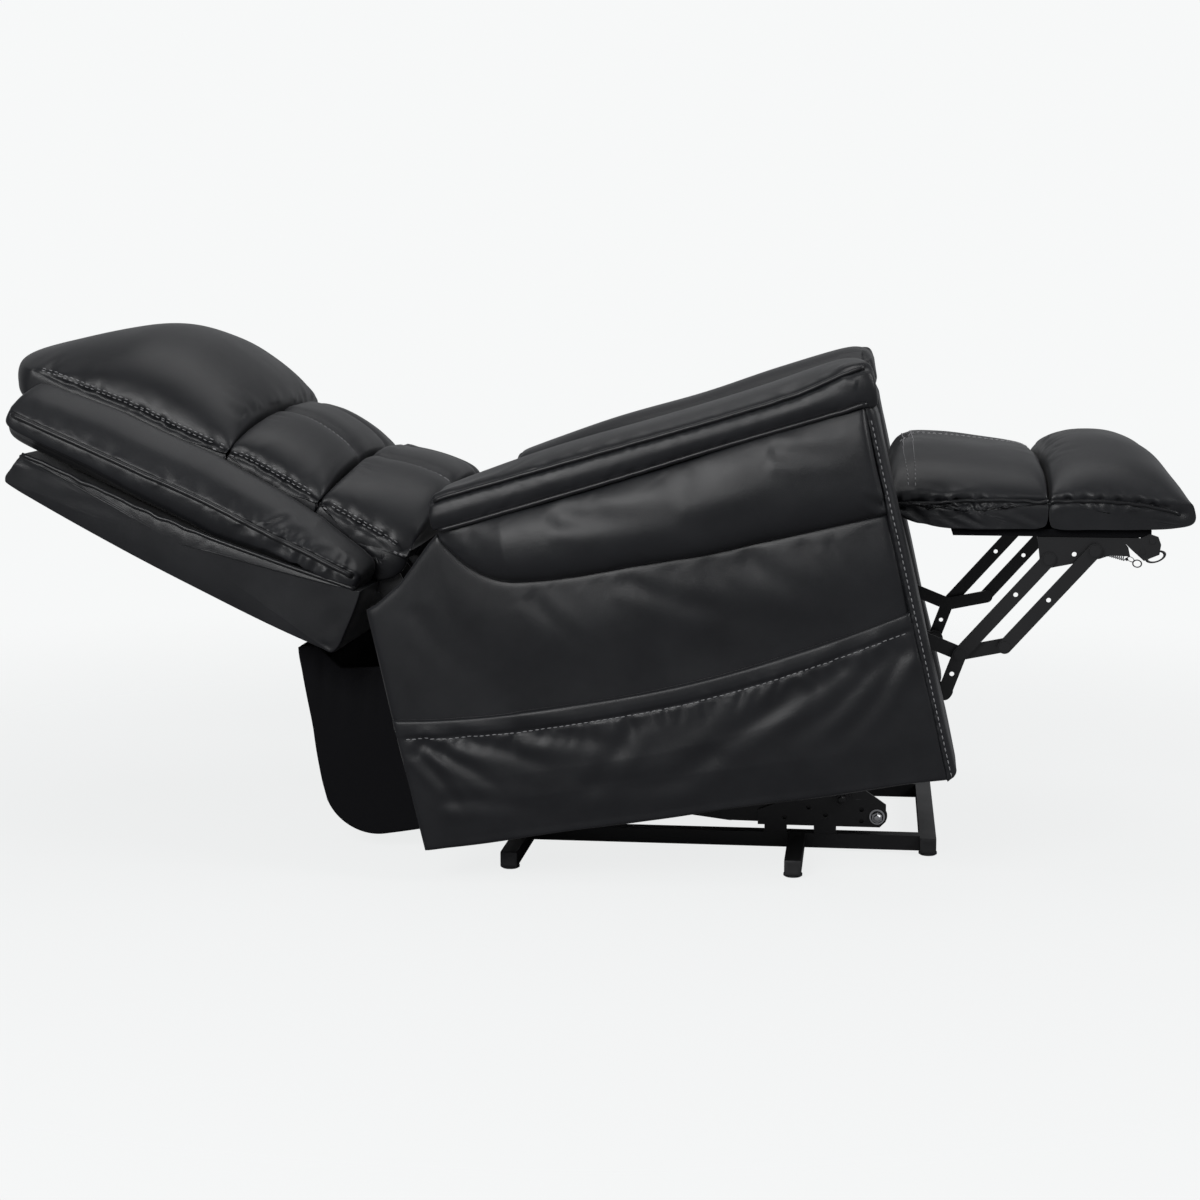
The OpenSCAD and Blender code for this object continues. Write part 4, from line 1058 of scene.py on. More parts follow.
def side_pocket(side):
    word = "right" if side < 0 else "left"

    def corner(u, v):
        high = upright_height_below(u)
        z = 3 + v * (high - 3)
        return rear_edge(z) + 1 + u * (front_edge(z) - FRONT_BAND + 1 - rear_edge(z)), z

    def upright_height_below(u):
        z = 190.0
        for _ in range(40):
            x = rear_edge(z) + 3 + u * (front_edge(z) - FRONT_BAND - 7 - rear_edge(z))
            z = 0.5 * z + 0.5 * float(on_table(HEM, x))
        return z

    def face(x, z, u, v):
        below = on_table(HEM, x) - z
        hem = 1.6 * np.clip(1 - np.abs(below - HEM_DEEP / 2) / (HEM_DEEP / 2), 0, 1) ** 0.3
        slack = 5.0 * np.sin(np.pi * np.clip(u, 0, 1)) ** 0.8 * np.clip((below - HEM_DEEP) / 60, 0,
            1) * np.clip(z / 60, 0.25, 1)
        return SIDE_FACE + (POCKET_THICK + hem + slack) * soft_edge(u, 120, 0.6) * soft_edge(v, 70, 0.6)

    cover = panel(f"{word}_pocket_cover", side, corner, face, SIDE_FACE - 3, 235, 84)
    skin = Surface(cover)
    skin.rumple(150, 1.6, 161 + side)
    folds = [
        (12, 160, 120, -95, 9, 3.0), (8, 150, 60, -110, 8, 2.6), (60, 158, 150, -70, 11, 2.6),
        (150, 152, 170, -52, 12, 2.2),
        (700, 206, -190, -120, 13, 3.4), (706, 196, -130, -130, 11, 2.8), (640, 190, -210, -84, 14, 2.4),
        (560, 172, -180, -96, 13, 2.0), (330, 150, -110, -104, 12, 1.6), (440, 90, -180, -52, 14, 1.6),
        (30, 70, 150, -34, 10, 1.4), (230, 60, 190, -18, 12, 1.2),
    ]
    for x, z, dx, dz, width, depth in folds:
        spot = placed([(x, side * 455, z), (x + dx, side * 455, z + dz)], BODY)
        skin.crease(spot[0], spot[1], width, depth * 0.8, 0.1 * side, 0.9)
    hem = body_line([(x, side * 453, on_table(HEM, x) - HEM_DEEP) for x in np.linspace(6, 710, 14)])
    skin.gather(hem, (0, 0, -1), 26, 42, 6, 1.3, 171 + side, 0.7)
    skin.press(hem, 3.2, 1.6)
    sew(f"{word}_hem_stitches", skin, hem, "seat", 2.0 * side)
    dress(cover, "seat", ())


for side in (-1, 1):
    side_pocket(side)
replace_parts(bpy.data.objects["right_pocket_cover"], "pocket_panels")


# ---- Arm fronts ----
# A leather strip wraps the front of each arm from the floor edge to the top and turns onto its side, where
# it is joined by a seam with a row of stitching on both of its edges.
def arm_front(side):
    word = "right" if side < 0 else "left"
    rings = []
    for t in np.linspace(0, 1, 150):
        z = 1.5 + t * 518
        s = min(1.0, (1 - abs(2 * t - 1) ** 60) ** 0.5 + 0.02)
        f = float(front_edge(z)) - max(0.0, 14 - z) ** 2 / 28
        section = [
            (f - 12.5, 284), (f - 12.5, 430), (f - 12, 446.5), (f - 8, 449.5), (f - 2, 448), (f + 2, 443),
            (f + 3.5, 430),
            (f + 5, 365), (f + 3.5, 300), (f + 1, 287), (f - 4, 282), (f - 9, 282),
        ]
        ring = curve_through([(x, y, z) for x, y in section], 72, closed=True)
        ring[:, 0] = np.maximum(ring[:, 0], f - 12.8)
        ring[:, 0] = f - 6 + (ring[:, 0] - f + 6) * s
        rings.append(ring * (1, side, 1))
    cover = loft(f"{word}_arm_front_cover", rings, BODY)
    skin = Surface(cover)
    skin.rumple(160, 0.8, 181 + side)
    seam = [(float(front_edge(z)) - 11.5, side * 448, z) for z in (10, 120, 250, 380, 505)]
    line = body_line(seam)
    skin.gather(body_line([(front_edge(508) + 2, side * y, 508) for y in (300, 365, 430)]), (0, 0, -1), 8,
        44, 6, 1.6, 183, 0.3)
    skin.gather(line, (1, 0, 0.2), 24, 12, 3.5, 0.7, 185, 0.3)
    sew(f"{word}_front_stitches", skin, body_line([(x + 5.5, y, z) for x, y, z in seam]), "seat")
    dress(cover, "seat", ())
    return cover


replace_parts(arm_front(-1), "arm_front_bands")
arm_front(1)


# ---- Arm pads ----
# A long foam pad in leather caps each arm and turns down over its front end in gathered folds. Piping runs
# along the upper and lower edges of its side.
PAD_MID = 364.5
PAD_TOPS = [(90, 498), (240, 524), (400, 545), (560, 566), (672, 583), (714, 576)]
UPPER_PIPE = [(93, 486), (240, 503), (400, 522), (560, 542), (630, 553), (676, 566), (706, 572)]
PAD_REAR, PAD_FRONT = 90, 714


def arm_pad(side):
    word = "right" if side < 0 else "left"
    tops, pipe = smooth_table(PAD_TOPS), smooth_table(UPPER_PIPE)
    rings = []
    for t in np.linspace(-1, 1, 190):
        x = (PAD_REAR + PAD_FRONT) / 2 + math.sin(t * math.pi / 2) * (PAD_FRONT - PAD_REAR) / 2
        s = max(0.03, float(dome(t, 10, 0.5)))
        nose = np.clip((x - 640) / 74, 0, 1)
        low = on_table(ARM_TOP, min(x, 735)) + 1 - 12 * nose**2
        high, edge = on_table(tops, x), on_table(pipe, x)
        section = [
            (282, low + 2), (330, low), (400, low), (446, low + 1), (455, low + 9), (458, (low + edge) / 2),
            (455, edge - 8), (449, edge), (438, edge + 9), (410, high - 5), (365, high), (320, high - 3),
            (290, high - 17),
            (279, high - 36), (277, (low + high) / 2 - 6), (278, low + 14),
        ]
        ring = curve_through([(x, y, z) for y, z in section], 88, closed=True)
        middle = (low + edge) / 2 - 8
        ring[:, 2] = np.maximum(middle + (ring[:, 2] - middle) * s, low)
        ring[:, 1] = PAD_MID + (ring[:, 1] - PAD_MID) * (0.9 + 0.1 * s)
        rings.append(ring * (1, side, 1))
    cover = loft(f"{word}_arm_pad_cover", rings, BODY)
    divide(cover)
    skin = Surface(cover)
    skin.rumple(190, 1.3, 191 + side)
    upper = body_line([(x, side * 449.5, on_table(pipe, x)) for x in np.linspace(98, 704, 16)])
    lower = body_line([(x, side * 452, on_table(ARM_TOP, x) + 4) for x in np.linspace(100, 700, 12)])
    skin.gather(upper, (0.5, 0, -1), 40, 34, 3.6, 0.8, 201 + side, 0.8)
    skin.gather(lower, (0.5, 0, 1), 26, 26, 4, 0.7, 211 + side, 0.8)
    skin.gather(upper, (0.3, -side * 1.0, 0.5), 10, 60, 9, 1.0, 221 + side, 0.5)
    nose = body_line([(PAD_FRONT - 16, side * y, 560) for y in (450, 410, 360, 310, 284)])
    skin.gather(nose, (-1, 0, 0.1), 13, 52, 5.5, 2.6, 231 + side, 0.3)
    skin.gather(nose, (0.1, 0, -1), 12, 36, 5, 2.6, 241 + side, 0.3)
    rear = body_line([(PAD_REAR + 6, side * y, 486) for y in (448, 400, 350, 300)])
    skin.gather(rear, (1, 0, 0.1), 9, 40, 6, 1.8, 251 + side, 0.4)
    skin.press(upper, 6, 2.2)
    piping(f"{word}_upper_piping", skin, upper, "seat", 3.4)
    piping(f"{word}_lower_piping", skin, lower, "seat", 3.4)
    dress(cover, "seat", ())
    return cover


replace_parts(arm_pad(-1), "arm_pads")
arm_pad(1)


# ---- Rear apron ----
# Thin black lining cloth closes the underside behind the seat. It is stapled to the frame at its top and
# hangs round the mechanism as a bag with rounded lower corners.
def lining_cloth():
    material, tree, shader = finish_material("black_lining_cloth", 0.9)
    where = tree.nodes.new("ShaderNodeTexCoord")
    weave = add_node(tree, "ShaderNodeTexWave", Scale=420.0, Distortion=1.2, Detail=1.0)
    cross = add_node(tree, "ShaderNodeTexWave", bands_direction="Z", Scale=420.0, Distortion=1.2, Detail=1.0)
    both = add_node(tree, "ShaderNodeMath", operation="MULTIPLY")
    tree.links.new(where.outputs["Object"], weave.inputs["Vector"])
    tree.links.new(where.outputs["Object"], cross.inputs["Vector"])
    tree.links.new(weave.outputs["Fac"], both.inputs[0])
    tree.links.new(cross.outputs["Fac"], both.inputs[1])
    tree.links.new(mixed_colour(tree, both.outputs["Value"], (0.004, 0.004, 0.005), (0.012, 0.012, 0.014)),
        shader.inputs["Base Color"])
    tree.links.new(bump(tree, both.outputs["Value"], 0.3, 0.0004), shader.inputs["Normal"])
    shader.inputs["Specular IOR Level"].default_value = 0.15
    return material


lining = lining_cloth()
for wrapped in ("footrest_board", "back_rails", "back_posts", "arm_frames"):
    give_finish(frame["nodes"][wrapped], lining)
APRON_HALF = 256


def rear_apron():
    path = even_line([(-180, 0, 290), (-181, 0, 200), (-181, 0, 120), (-178, 0, 62), (-160, 0, 24),
        (-128, 0, 2), (-96, 0, -3), (-64, 0, -4)], 7)
    tangent = np.gradient(path, axis=0)
    tangent /= np.linalg.norm(tangent, axis=1)[:, None]
    inward = np.stack([-tangent[:, 2], np.zeros(len(path)), tangent[:, 0]], axis=1)
    rings = []
    for t in np.linspace(-1, 1, 90):
        sag = 1 - 0.35 * abs(t) ** 3
        outer = path + inward * 1.2 * (1 - sag)
        inner = path + inward * 3.6
        ring = np.concatenate([outer, inner[::-1]])
        ring[:, 1] = t * APRON_HALF
        rings.append(ring)
    back = loft("rear_apron_back", rings, BODY)
    skin = Surface(back)
    skin.rumple(120, 1.2, 301)
    skin.gather(body_line([(-182, y, 286) for y in (-240, -80, 80, 240)]), (0, 0, -1), 20, 90, 9, 2.4, 303,
        0.25)
    dress(back, "seat", ("rear_apron",), lining)
    for side in (-1, 1):
        word = "right" if side < 0 else "left"

        def corner(u, v):
            x = -179.5 + u * 153
            low = np.where(x < -100, 76 - np.sqrt(np.maximum(0, 79.5**2 - (x + 100) ** 2)), -3.5)
            high = on_table([(-180, 291), (-150, 289), (-121, 251), (-20, 239)], x)
            return np.full(v.shape, x), low + v * (high - low)

        cloth = panel(f"rear_apron_{word}", side, corner, lambda x, z, u,
            v: 256 + 3.5 * soft_edge(u, 80) * soft_edge(v, 60) * (1 + 0 * x), 255, 70, 110)
        skin = Surface(cloth)
        skin.rumple(110, 1.0, 311 + side)
        skin.gather(body_line([(x, side * 259, z) for x,
            z in ((-150, 285), (-121, 249), (-70, 243), (-28, 238))]), (0, 0, -1), 7, 120, 9, 1.8,
            313 + side, 0.2)
        dress(cloth, "seat", (), lining)


rear_apron()


# ---- Back shell ----
# The back is a timber frame under a firm foam shell with its own leather cover, piped along the front edge.
# Its lower end is cut out round the hinge brackets and the recline actuator's eye.
BACK = (
    Matrix.Translation(joint_at["recline"])
    @ Matrix.Rotation(-math.radians(9.5 + 54.1), 4, "Y")
    @ Matrix.Scale(MM, 4)
)
SHELL_OUTLINE = [
    (-8, 14), (-7, 22), (-14, 74), (-26, 160), (-37, 240), (-42, 300), (-46, 380), (-51, 465), (-56, 538),
    (-61, 545),
    (-80, 549), (-99, 551), (-106, 534), (-112, 440), (-114, 330), (-114, 165), (-107, 40), (-102, 12),
    (-60, 10),
]
SHELL_HALF = 366


def back_line(points, step=5):
    return even_line(placed(points, BACK), step * MM)


def cut_box(piece, low, high):
    """Cuts a box out of a cover, in the back's own measures."""
    bpy.ops.mesh.primitive_cube_add(size=1)
    knife = bpy.context.object
    middle = [(a + b) / 2 for a, b in zip(low, high)]
    knife.matrix_world = BACK @ Matrix.Translation(middle) @ Matrix.Diagonal([b - a for a,
        b in zip(low, high)] + [1])
    bpy.context.view_layer.update()
    cut = piece.modifiers.new("notch", "BOOLEAN")
    cut.object = knife
    cut.solver = "EXACT"
    bpy.ops.object.select_all(action="DESELECT")
    piece.select_set(True)
    bpy.context.view_layer.objects.active = piece
    bpy.ops.object.modifier_apply(modifier=cut.name)
    bpy.data.objects.remove(knife)


def back_shell():
    outline = curve_through(SHELL_OUTLINE, 150, closed=True)
    centre = np.array((-74, 300))
    rings = []
    for t in np.linspace(-1, 1, 130):
        y = SHELL_HALF * math.sin(t * math.pi / 2)
        s = 1 - 0.055 * (1 - float(dome(y / SHELL_HALF, 30, 0.5)))
        ring = np.stack([outline[:, 0], np.full(150, y), outline[:, 1]], axis=1)
        ring[:, 0] = centre[0] + (ring[:, 0] - centre[0]) * s
        ring[:, 2] = centre[1] + (ring[:, 2] - centre[1]) * (1 - (1 - s) * 0.14)
        rings.append(ring)
    cover = loft("back_shell_cover", with_side_walls(np.array(rings), 2.5), BACK)
    divide(cover)
    skin = Surface(cover)
    up = np.array(BACK.to_3x3().normalized() @ Vector((1, 0, 0.3)))
    skin.rumple(230, 1.3, 401)
    for side in (-1, 1):
        pipe = back_line([(x, side * (SHELL_HALF - 1), z) for x,
            z in ((-57, 541), (-51, 460), (-45.5, 370), (-38, 245), (-26, 160), (-14, 74), (-8, 24))])
        skin.gather(pipe, -up, 8, 34, 8, 0.7, 403 + side, 0.7, (0.0, 0.6))
        for x, z, dx, dz in ((-60, 525, -34, -26), (-58, 480, -34, -34), (-54, 440, -36, -30)):
            spot = placed([(x, side * 368, z), (x + dx, side * 368, z + dz)], BACK)
            skin.crease(spot[0], spot[1], 9, 1.3, 0.1)
        end = back_line([(x, side * (SHELL_HALF + 1), z) for x, z in ((-40, 36), (-70, 30), (-100, 24))])
        skin.press(end, 3, 1.8)
        piping(f"shell_piping_{'right' if side < 0 else 'left'}", skin, pipe, "back", 3.4)
    rear = back_line([(-113, y, 540) for y in (-340, -120, 120, 340)])
    skin.gather(rear, (0, 0, -1), 14, 80, 9, 1.4, 407, 0.3)
    cut_box(cover, (-44, -256, -12), (60, 256, 87))
    cut_box(cover, (-96, 24, -12), (-20, 76, 54))
    dress(cover, "back", ("back_shell",))


back_shell()


# ---- Wing bolsters ----
# A foam bolster runs up each side of the back between its shell and the cushions, in leather with one piped
# seam along its crest. The leather is drawn up in folds behind the piping near the lower end.
WING_LOW, WING_HIGH = 24, 586


def wing_bolster(side):
    word = "right" if side < 0 else "left"
    rings = []
    for t in np.linspace(-1, 1, 170):
        z = (WING_LOW + WING_HIGH) / 2 + math.sin(t * math.pi / 2) * (WING_HIGH - WING_LOW) / 2
        s = max(0.02, float(dome(t, 9, 0.5)))
        back = float(np.interp(z, (200, 380, 600), (-37.5, -43.5, -51.5)))
        crest = float(np.interp(z, (24, 280, 586), (8, 5.5, -10)))
        front = float(np.interp(z, (20, 120, 300, 450, 600), (34, 56, 64, 58, 44)))
        heel = max(back, float(np.interp(z, (20, 160, 245), (-7, -25, -37))))
        section = [
            (back, 281), (back, 330), (heel + 1, 352), (heel + 7, 361), (back * 0.45 + crest * 0.55, 367),
            (crest, 367),
            (crest + 9, 364), (crest * 0.4 + front * 0.6, 343), (front - 4, 308), (front - 6, 291),
            (front - 14, 281),
            (10, 280),
        ]
        ring = curve_through([(x, y, z) for x, y in section], 84, closed=True)
        ring[:, 0] = np.maximum(ring[:, 0], back)
        ring[:, 0] = 2 + (ring[:, 0] - 2) * s
        ring[:, 0] = np.maximum(ring[:, 0], back)
        ring[:, 1] = 281 + (ring[:, 1] - 281) * (0.72 + 0.28 * s)
        rings.append(ring * (1, side, 1))
    cover = loft(f"{word}_wing_cover", rings, BACK)
    divide(cover)
    skin = Surface(cover)
    skin.rumple(150, 1.5, 501 + side)
    crest = back_line([(np.interp(z, (24, 280, 586), (8, 5.5, -10)), side * 367, z) for z in (578, 520, 440,
        360, 280, 200, 120, 60, 36)])
    rear = np.array(BACK.to_3x3().normalized() @ Vector((-1, 0, 0)))
    inner = np.array(BACK.to_3x3().normalized() @ Vector((1, -side * 0.6, 0)))
    skin.gather(crest, rear, 9, 60, 7.5, 1.9, 511 + side, 0.9, (0.55, 0.98))
    skin.gather(crest, rear, 6, 40, 8, 0.8, 521 + side, 0.8, (0.0, 0.5))
    skin.gather(crest, inner, 8, 46, 8, 1.4, 531 + side, 0.7, (0.0, 0.7))
    skin.gather(crest, inner, 9, 60, 6.5, 2.4, 541 + side, 0.8, (0.7, 1.0))
    skin.press(crest, 4, 2)
    piping(f"{word}_wing_piping", skin, crest, "back", 3.8)
    dress(cover, "back", ())
    return cover


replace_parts(wing_bolster(-1), "wing_bolsters")
wing_bolster(1)


def lower_gusset(side):
    """The leather that closes the corner below each wing, between the lowest cushion and the hinge."""
    rings = []
    for t in np.linspace(-1, 1, 60):
        s = max(0.02, float(dome(t, 3, 0.5)))
        around = np.linspace(0, 2 * math.pi, 56, endpoint=False)
        x = 30 + 36 * s * np.cos(around)
        z = 26 + 38 * s * np.sin(around) - 6 * np.cos(around)
        rings.append(np.stack([x, np.full(56, side * (263 + 14 * t)), z], axis=1))
    cover = loft(f"{'right' if side < 0 else 'left'}_gusset", rings, BACK)
    skin = Surface(cover)
    edge = back_line([(58, side * 279, 60), (30, side * 279, 66), (0, side * 279, 56)])
    down = np.array(BACK.to_3x3().normalized() @ Vector((0, 0, -1)))
    skin.gather(edge, down, 7, 70, 6, 2.2, 551 + side, 0.3)
    dress(cover, "back", ())


lower_gusset(-1)
lower_gusset(1)


# ---- Back cushions ----
# A head roll and two lumbar cushions in one leather cover, swollen above a double-stitched side seam, with a
# plain boxing wall down to the wings and two sewn channels that part each lumbar cushion in three.
BACK_HALF = 274
CUSHION_REAR = -12
CHANNEL = 92
GROOVE, GROOVE_SHOULDER = 12, 34
HEAD_LOW, LUMBAR_LOW, HEAD_TOP = 294, 140, 668
HEAD_DROP = 64


def side_seam_x(z):
    """How far the side seam stands out of the back at a height along it."""
    return np.interp(z, (0, 36, 254, 356, 449, 600, 640), (50, 56, 67, 61, 58, 44, 36))


def back_rings(profile, count, around, channel=0.0, drop=0.0):
    outline = curve_through(profile, around, closed=True)
    rings = []
    for y in stations(BACK_HALF, count):
        s = float(dome(y / BACK_HALF))
        z = outline[:, 1] - drop * (1 - s) * np.clip((outline[:, 1] - 400) / 270, 0, 1)
        seam = side_seam_x(z)
        over = np.maximum(0, outline[:, 0] - seam)
        x = np.minimum(outline[:, 0], seam) + over * s
        if channel:
            dip = channel * math.exp(-(((abs(y) - CHANNEL) / GROOVE) ** 2))
            dip += 0.6 * channel * math.exp(-(((abs(y) - CHANNEL) / GROOVE_SHOULDER) ** 2))
            x = x - dip * np.clip(over / 40, 0, 1)
        rings.append(np.stack([x, np.full(around, y), z], axis=1))
    return np.array(rings)


head_profile = [
    (CUSHION_REAR, HEAD_LOW + 8), (70, HEAD_LOW + 3), (130, HEAD_LOW + 2), (160, HEAD_LOW + 38), (177, 398),
    (178, 448), (165, 505), (131, 560), (86, 620), (44, HEAD_TOP - 3), (12, HEAD_TOP - 8),
    (-4, HEAD_TOP - 36),
    (CUSHION_REAR, 520),
]
upper_profile = [
    (CUSHION_REAR, LUMBAR_LOW + 8), (70, LUMBAR_LOW + 4), (124, LUMBAR_LOW + 3), (141, LUMBAR_LOW + 28),
    (149, 210),
    (148, 250), (134, HEAD_LOW - 9), (100, HEAD_LOW - 3), (50, HEAD_LOW - 3), (CUSHION_REAR, HEAD_LOW - 8),
]
lower_profile = [
    (26, 60), (26, 12), (80, -4), (138, -10), (163, 5), (162, 50), (150, 100), (134, LUMBAR_LOW - 8),
    (70, LUMBAR_LOW - 4), (CUSHION_REAR, LUMBAR_LOW - 6), (CUSHION_REAR, 96), (-2, 90),
]


def back_cushion(name, profile, cross, channel, drop, seed):
    piece = loft(name, with_side_walls(back_rings(profile, 64, 116, channel, drop), 2), BACK)
    skin = Surface(piece)
    held = np.zeros(skin.count)
    zs = np.linspace(min(z for _, z in profile), max(z for _, z in profile) - drop, 7)
    seams = {side: [(side_seam_x(z) + 1, side * BACK_HALF, z) for z in zs] for side in (-1, 1)}
    for line in seams.values():
        gap, _ = near_line(skin.co, back_line(line, 14))
        held = np.maximum(held, np.exp(-((gap / 0.014) ** 2)))
    back = np.array(BACK.inverted())
    local = skin.co @ back[:3, :3].T + back[:3, 3]
    held = np.maximum(held, np.clip((24 - local[:, 0]) / 20, 0, 1))
    for z in cross:
        held = np.maximum(held, np.exp(-(((local[:, 2] - z) / 8) ** 2)))
    if channel:
        held = np.maximum(held, np.exp(-(((np.abs(local[:, 1]) - CHANNEL) / 8) ** 2)) * (local[:, 0] > 90))
    puff(piece, held, 2.4, 6)
    divide(piece)
    skin = Surface(piece)
    skin.rumple(170, 1.5, seed)
    out = np.array(BACK.to_3x3().normalized() @ Vector((1, 0, 0)))
    up = np.array(BACK.to_3x3().normalized() @ Vector((0, 0, 1)))
    for side, line in seams.items():
        seam = back_line(line)
        skin.press(seam, 5, 2.5)
        inward = np.array((0, -side, 0)) * 0.8 + out * 0.6
        skin.gather(seam, inward, 8, 85, 8, 1.9, seed + 3 * side, 0.8)
        skin.gather(seam, -out, 4, 34, 8, 0.8, seed + 5 * side, 0.8)
        sew(f"{name}_seam_stitches_{side + 1}", skin, seam, "back", 5 * side)
        sew(f"{name}_wall_stitches_{side + 1}", skin, seam, "back", 10 * side)
    return piece, skin, seams, out, up


def back_cushions():
    piece, skin, seams, out, up = back_cushion("head_cover", head_profile, (HEAD_LOW,), 0, HEAD_DROP, 71)
    low = back_line([(120, y, HEAD_LOW + 8) for y in (-230, -120, 0, 120, 230)])
    skin.gather(low, up + 0.3 * out, 18, 70, 8, 2.6, 73, 0.35)
    dress(piece, "back", ("head_cushion",))
    for name, node, profile, cross, seed in (
        ("upper_lumbar_cover", "upper_lumbar_cushion", upper_profile, (LUMBAR_LOW, HEAD_LOW), 81),
        ("lower_lumbar_cover", "lower_lumbar_cushion", lower_profile, (LUMBAR_LOW,), 91),
    ):
        piece, skin, seams, out, up = back_cushion(name, profile, cross, 7.0, 0, seed)
        high, bottom = max(z for _, z in profile), min(z for _, z in profile)
        for side in (-1, 1):
            channel = back_line([(165, side * CHANNEL, z) for z in np.linspace(bottom + 14, high - 8, 6)])
            skin.press(channel, 5, 3, out)
            skin.gather(channel, np.array((0, side, 0)), 9, 40, 6, 1.3, seed + 11 * side, 0.4)
            sew(f"{name}_channel_stitches_{side + 1}", skin, channel, "back", 4)
        edge = back_line([(130, y, high - 6) for y in (-230, -120, 0, 120, 230)])
        skin.gather(edge, -up, 16, 46, 7, 1.8, seed + 2, 0.35)
        dress(piece, "back", (node,))


back_cushions()

# ---- Footrest pads ----
# A chaise pad and a front roll, one leather cover over foam: a crowned top in two halves, sewn down along the
# middle, and a boxing band below a piped side seam that gathers in small folds towards the rear.
PAD = Matrix.Translation(joint_at["footrest_turn"]) @ Matrix.Scale(MM, 4)
PAD_HALF = 274
PAD_LIMIT = 273
PAD_SEAM = 80
PAD_FOLD_SEED = 11
REAR, TIP, LOW, THICK, ROLL = -224, 201, 42, 112, -2
chaise_profile = [
    (REAR + 12, LOW + 22), (REAR + 60, LOW + 4), (-110, LOW + 1), (-40, LOW + 1), (ROLL - 14, LOW + 2),
    (ROLL - 2, LOW + 12), (ROLL - 2, LOW + 60), (ROLL - 6, LOW + THICK - 16), (-34, LOW + THICK - 3),
    (-90, LOW + THICK + 4), (-150, LOW + THICK + 9), (-196, LOW + THICK + 8), (REAR + 5, LOW + THICK - 6),
    (REAR + 1, LOW + 72),
]
roll_profile = [
    (ROLL + 1, LOW + 12), (ROLL + 14, LOW + 1), (60, LOW + 1), (120, LOW + 1), (TIP - 30, LOW + 4),
    (TIP - 3, LOW + 14), (TIP - 10, LOW + 46), (160, LOW + THICK - 18), (118, LOW + THICK + 6),
    (76, LOW + THICK + 12), (34, LOW + THICK + 6), (ROLL + 7, LOW + THICK - 16), (ROLL + 1, LOW + 60),
]


def pad_line(points, step=5):
    return even_line(placed(points, PAD), step * MM)


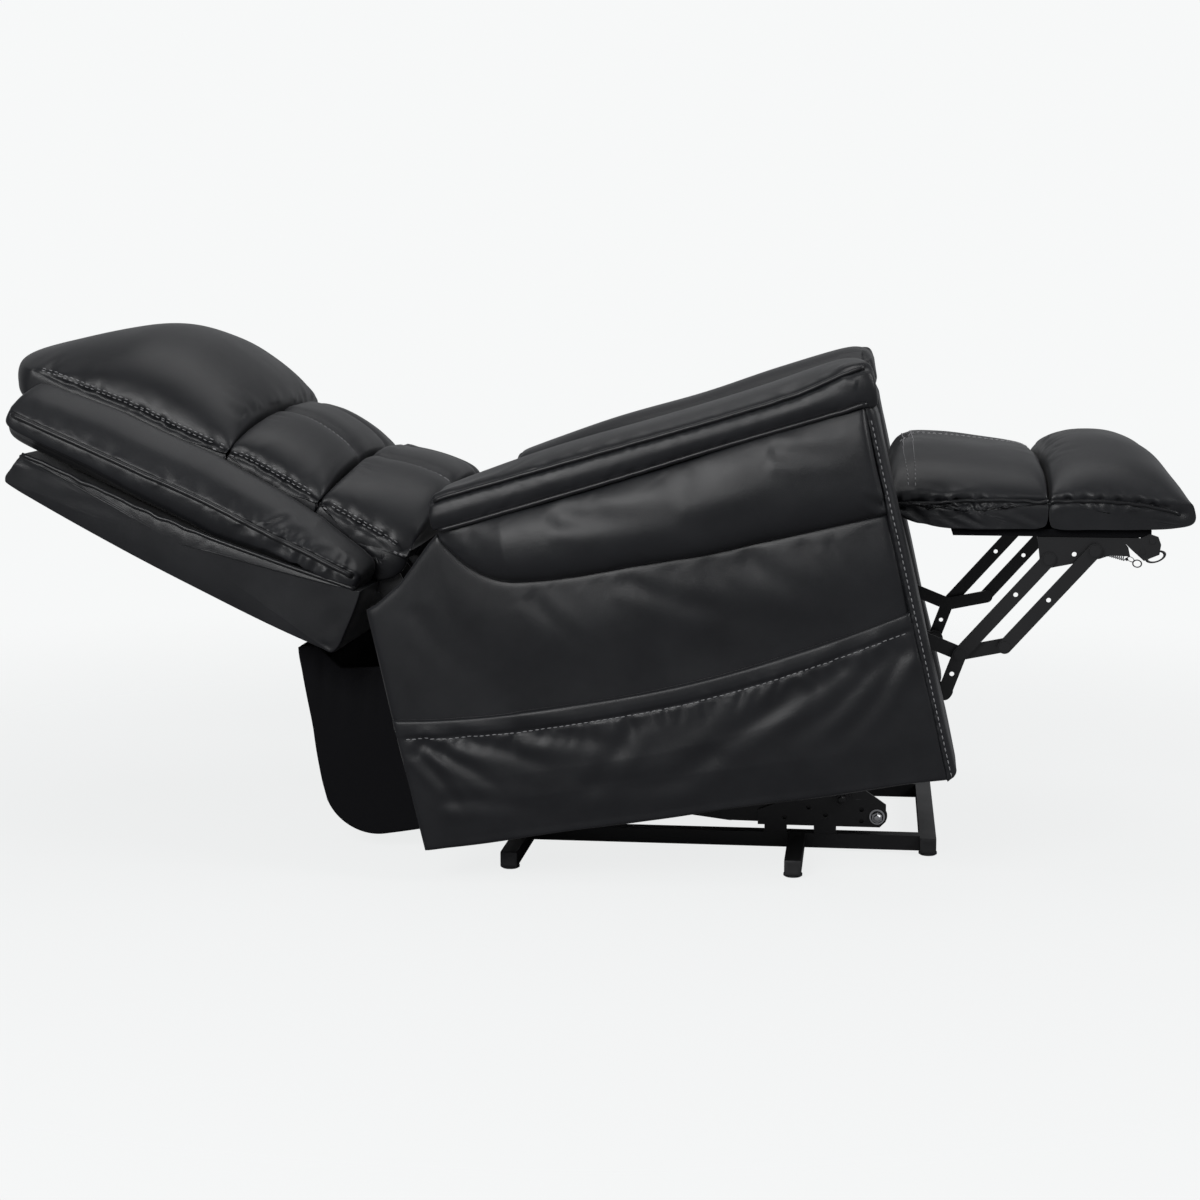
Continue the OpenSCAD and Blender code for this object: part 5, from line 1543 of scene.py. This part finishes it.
def footrest_pads():
    chaise = loft("chaise_pad_cover", with_side_walls(crowned_rings(chaise_profile, PAD_SEAM, PAD_HALF, 62,
        110), 3), PAD)
    roll = loft("footrest_roll_cover", with_side_walls(crowned_rings(roll_profile, PAD_SEAM, PAD_HALF, 62,
        110), 3), PAD)
    sides = {side: [(x, side * PAD_HALF, z) for x,
        z in ((REAR + 8, 76), (-140, 80), (-60, 82), (ROLL, 82))] for side in (-1, 1)}
    front = {side: [(x, side * PAD_HALF, z) for x,
        z in ((ROLL, 82), (60, 83), (130, 78), (TIP - 24, 66))] for side in (-1, 1)}
    for piece, edges in ((chaise, sides), (roll, front)):
        skin = Surface(piece)
        held = np.zeros(skin.count)
        for line in edges.values():
            gap, _ = near_line(skin.co, pad_line(line, 12))
            held = np.maximum(held, np.exp(-((gap / 0.012) ** 2)))
        local = (skin.co - np.array(PAD.translation)) / MM
        held = np.maximum(held, np.clip((LOW + 22 - local[:, 2]) / 18, 0, 1))
        held = np.maximum(held, np.exp(-(((local[:, 0] - ROLL) / 9) ** 2)))
        puff(piece, held, 2.2, 5)
        for vertex in piece.data.vertices:
            vertex.co.y = min(max(vertex.co.y, -PAD_LIMIT * MM), PAD_LIMIT * MM)
        divide(piece)
        skin = Surface(piece)
        skin.rumple(150, 1.4, PAD_FOLD_SEED)
        for side, line in edges.items():
            skin.press(pad_line(line), 5, 3)
    skin = Surface(chaise)
    middle = pad_line([(x, 0, 160) for x in (-216, -150, -100, -50, ROLL + 2)])
    skin.press(middle, 150, 6, (0, 0, 1))
    cross = pad_line([(-192, y, 146 - 62 * (y / PAD_HALF) ** 2) for y in (-262, -200, -120, -60, 0, 60, 120,
        200, 262)])
    for line in (middle, cross):
        skin.press(line + np.array((0, 0, 0.005)), 5, 3, (0, 0, 1))
    for side, line in sides.items():
        seam = pad_line(line)
        skin.gather(seam, (-0.5, -side * 0.8, 0.4), 13, 90, 5.5, 3.4, 5 + side, 0.5, (0.0, 0.6))
        skin.gather(seam, (1, 0, -0.75), 15, 62, 4.5, 4.2, 9 + side, 0.5, (0.0, 0.72))
        skin.gather(cross, (1, side * 0.5, 0), 9, 80, 6, 2.2, 21 + side, 0.5)
        for x in (-72, ROLL + 10):
            skin.press(pad_line([(x, side * (PAD_HALF + 2), z) for z in (LOW + 4, 62, 78)]), 2.5, 1.6)
    skin.gather(pad_line([(ROLL - 3, y, 150) for y in (-240, -80, 80, 240)]), (-1, 0, 0.1), 14, 46, 5, 2.2,
        31, 0.3)
    sew("chaise_middle_stitches", skin, middle, "footrest", 4)
    sew("chaise_middle_stitches_near", skin, middle, "footrest", -4)
    for side, line in sides.items():
        piping(f"chaise_welt_{side + 1}", skin, pad_line(line), "footrest", 2.6, 0.1)
    sew("chaise_cross_stitches", skin, cross, "footrest", 5)
    sew("chaise_cross_stitches_rear", skin, cross, "footrest", -5)
    skin = Surface(roll)
    skin.gather(pad_line([(ROLL + 3, y, 150) for y in (-240, -80, 80, 240)]), (1, 0, 0.1), 14, 60, 6, 2.4,
        41, 0.3)
    for side, line in front.items():
        seam = pad_line(line)
        skin.gather(seam, (0.1, -side * 0.9, 0.5), 8, 60, 5, 2.0, 51 + side, 0.5)
        skin.gather(seam, (0.1, 0, -1), 7, 30, 4.5, 1.6, 61 + side, 0.5)
        piping(f"roll_welt_{side + 1}", skin, seam, "footrest", 2.6, 0.1)
        for x in (TIP - 44, TIP - 36):
            skin.press(pad_line([(x, side * (PAD_HALF + 2), z) for z in (LOW + 8, 60, 76)]), 3, 2)
    dress(chaise, "footrest", ("chaise_pad",))
    dress(roll, "footrest", ("footrest_roll",))


footrest_pads()


# ---- Bracket wires ----
# Each footrest bracket has a round wire loop on its end plate and a small wire hook between the plate and the
# return spring.
def wire_ring(name, at, y, size, tilt):
    bpy.ops.mesh.primitive_torus_add(
        location=PAD @ Vector((at[0], y, at[1])), rotation=(math.pi / 2, 0, 0), major_radius=WIRE_RING * MM,
        minor_radius=WIRE * MM, major_segments=36, minor_segments=10,
    )
    ring = bpy.context.object
    bpy.ops.object.transform_apply(location=False, rotation=True, scale=False)
    ring.scale = (size[0] / WIRE_RING, 1, size[1] / WIRE_RING)
    bpy.ops.object.transform_apply(location=False, rotation=False, scale=True)
    ring.rotation_euler = (0, math.radians(tilt), 0)
    settle(ring, name, finishes["black_steel"], "footrest")


WIRE, WIRE_RING, WIRE_PLANE = 1.3, 8, 263.8
for side, word in ((-1, "right"), (1, "left")):
    plate_y = side * WIRE_PLANE
    wire_ring(f"{word}_bracket_loop", (147, 5), plate_y, (13, 7), -20)
    wire_ring(f"{word}_bracket_hook", (122, -5), plate_y, (6, 5), 10)
    wire_ring(f"{word}_spring_hook", (113, 1), plate_y, (5, 3), 30)
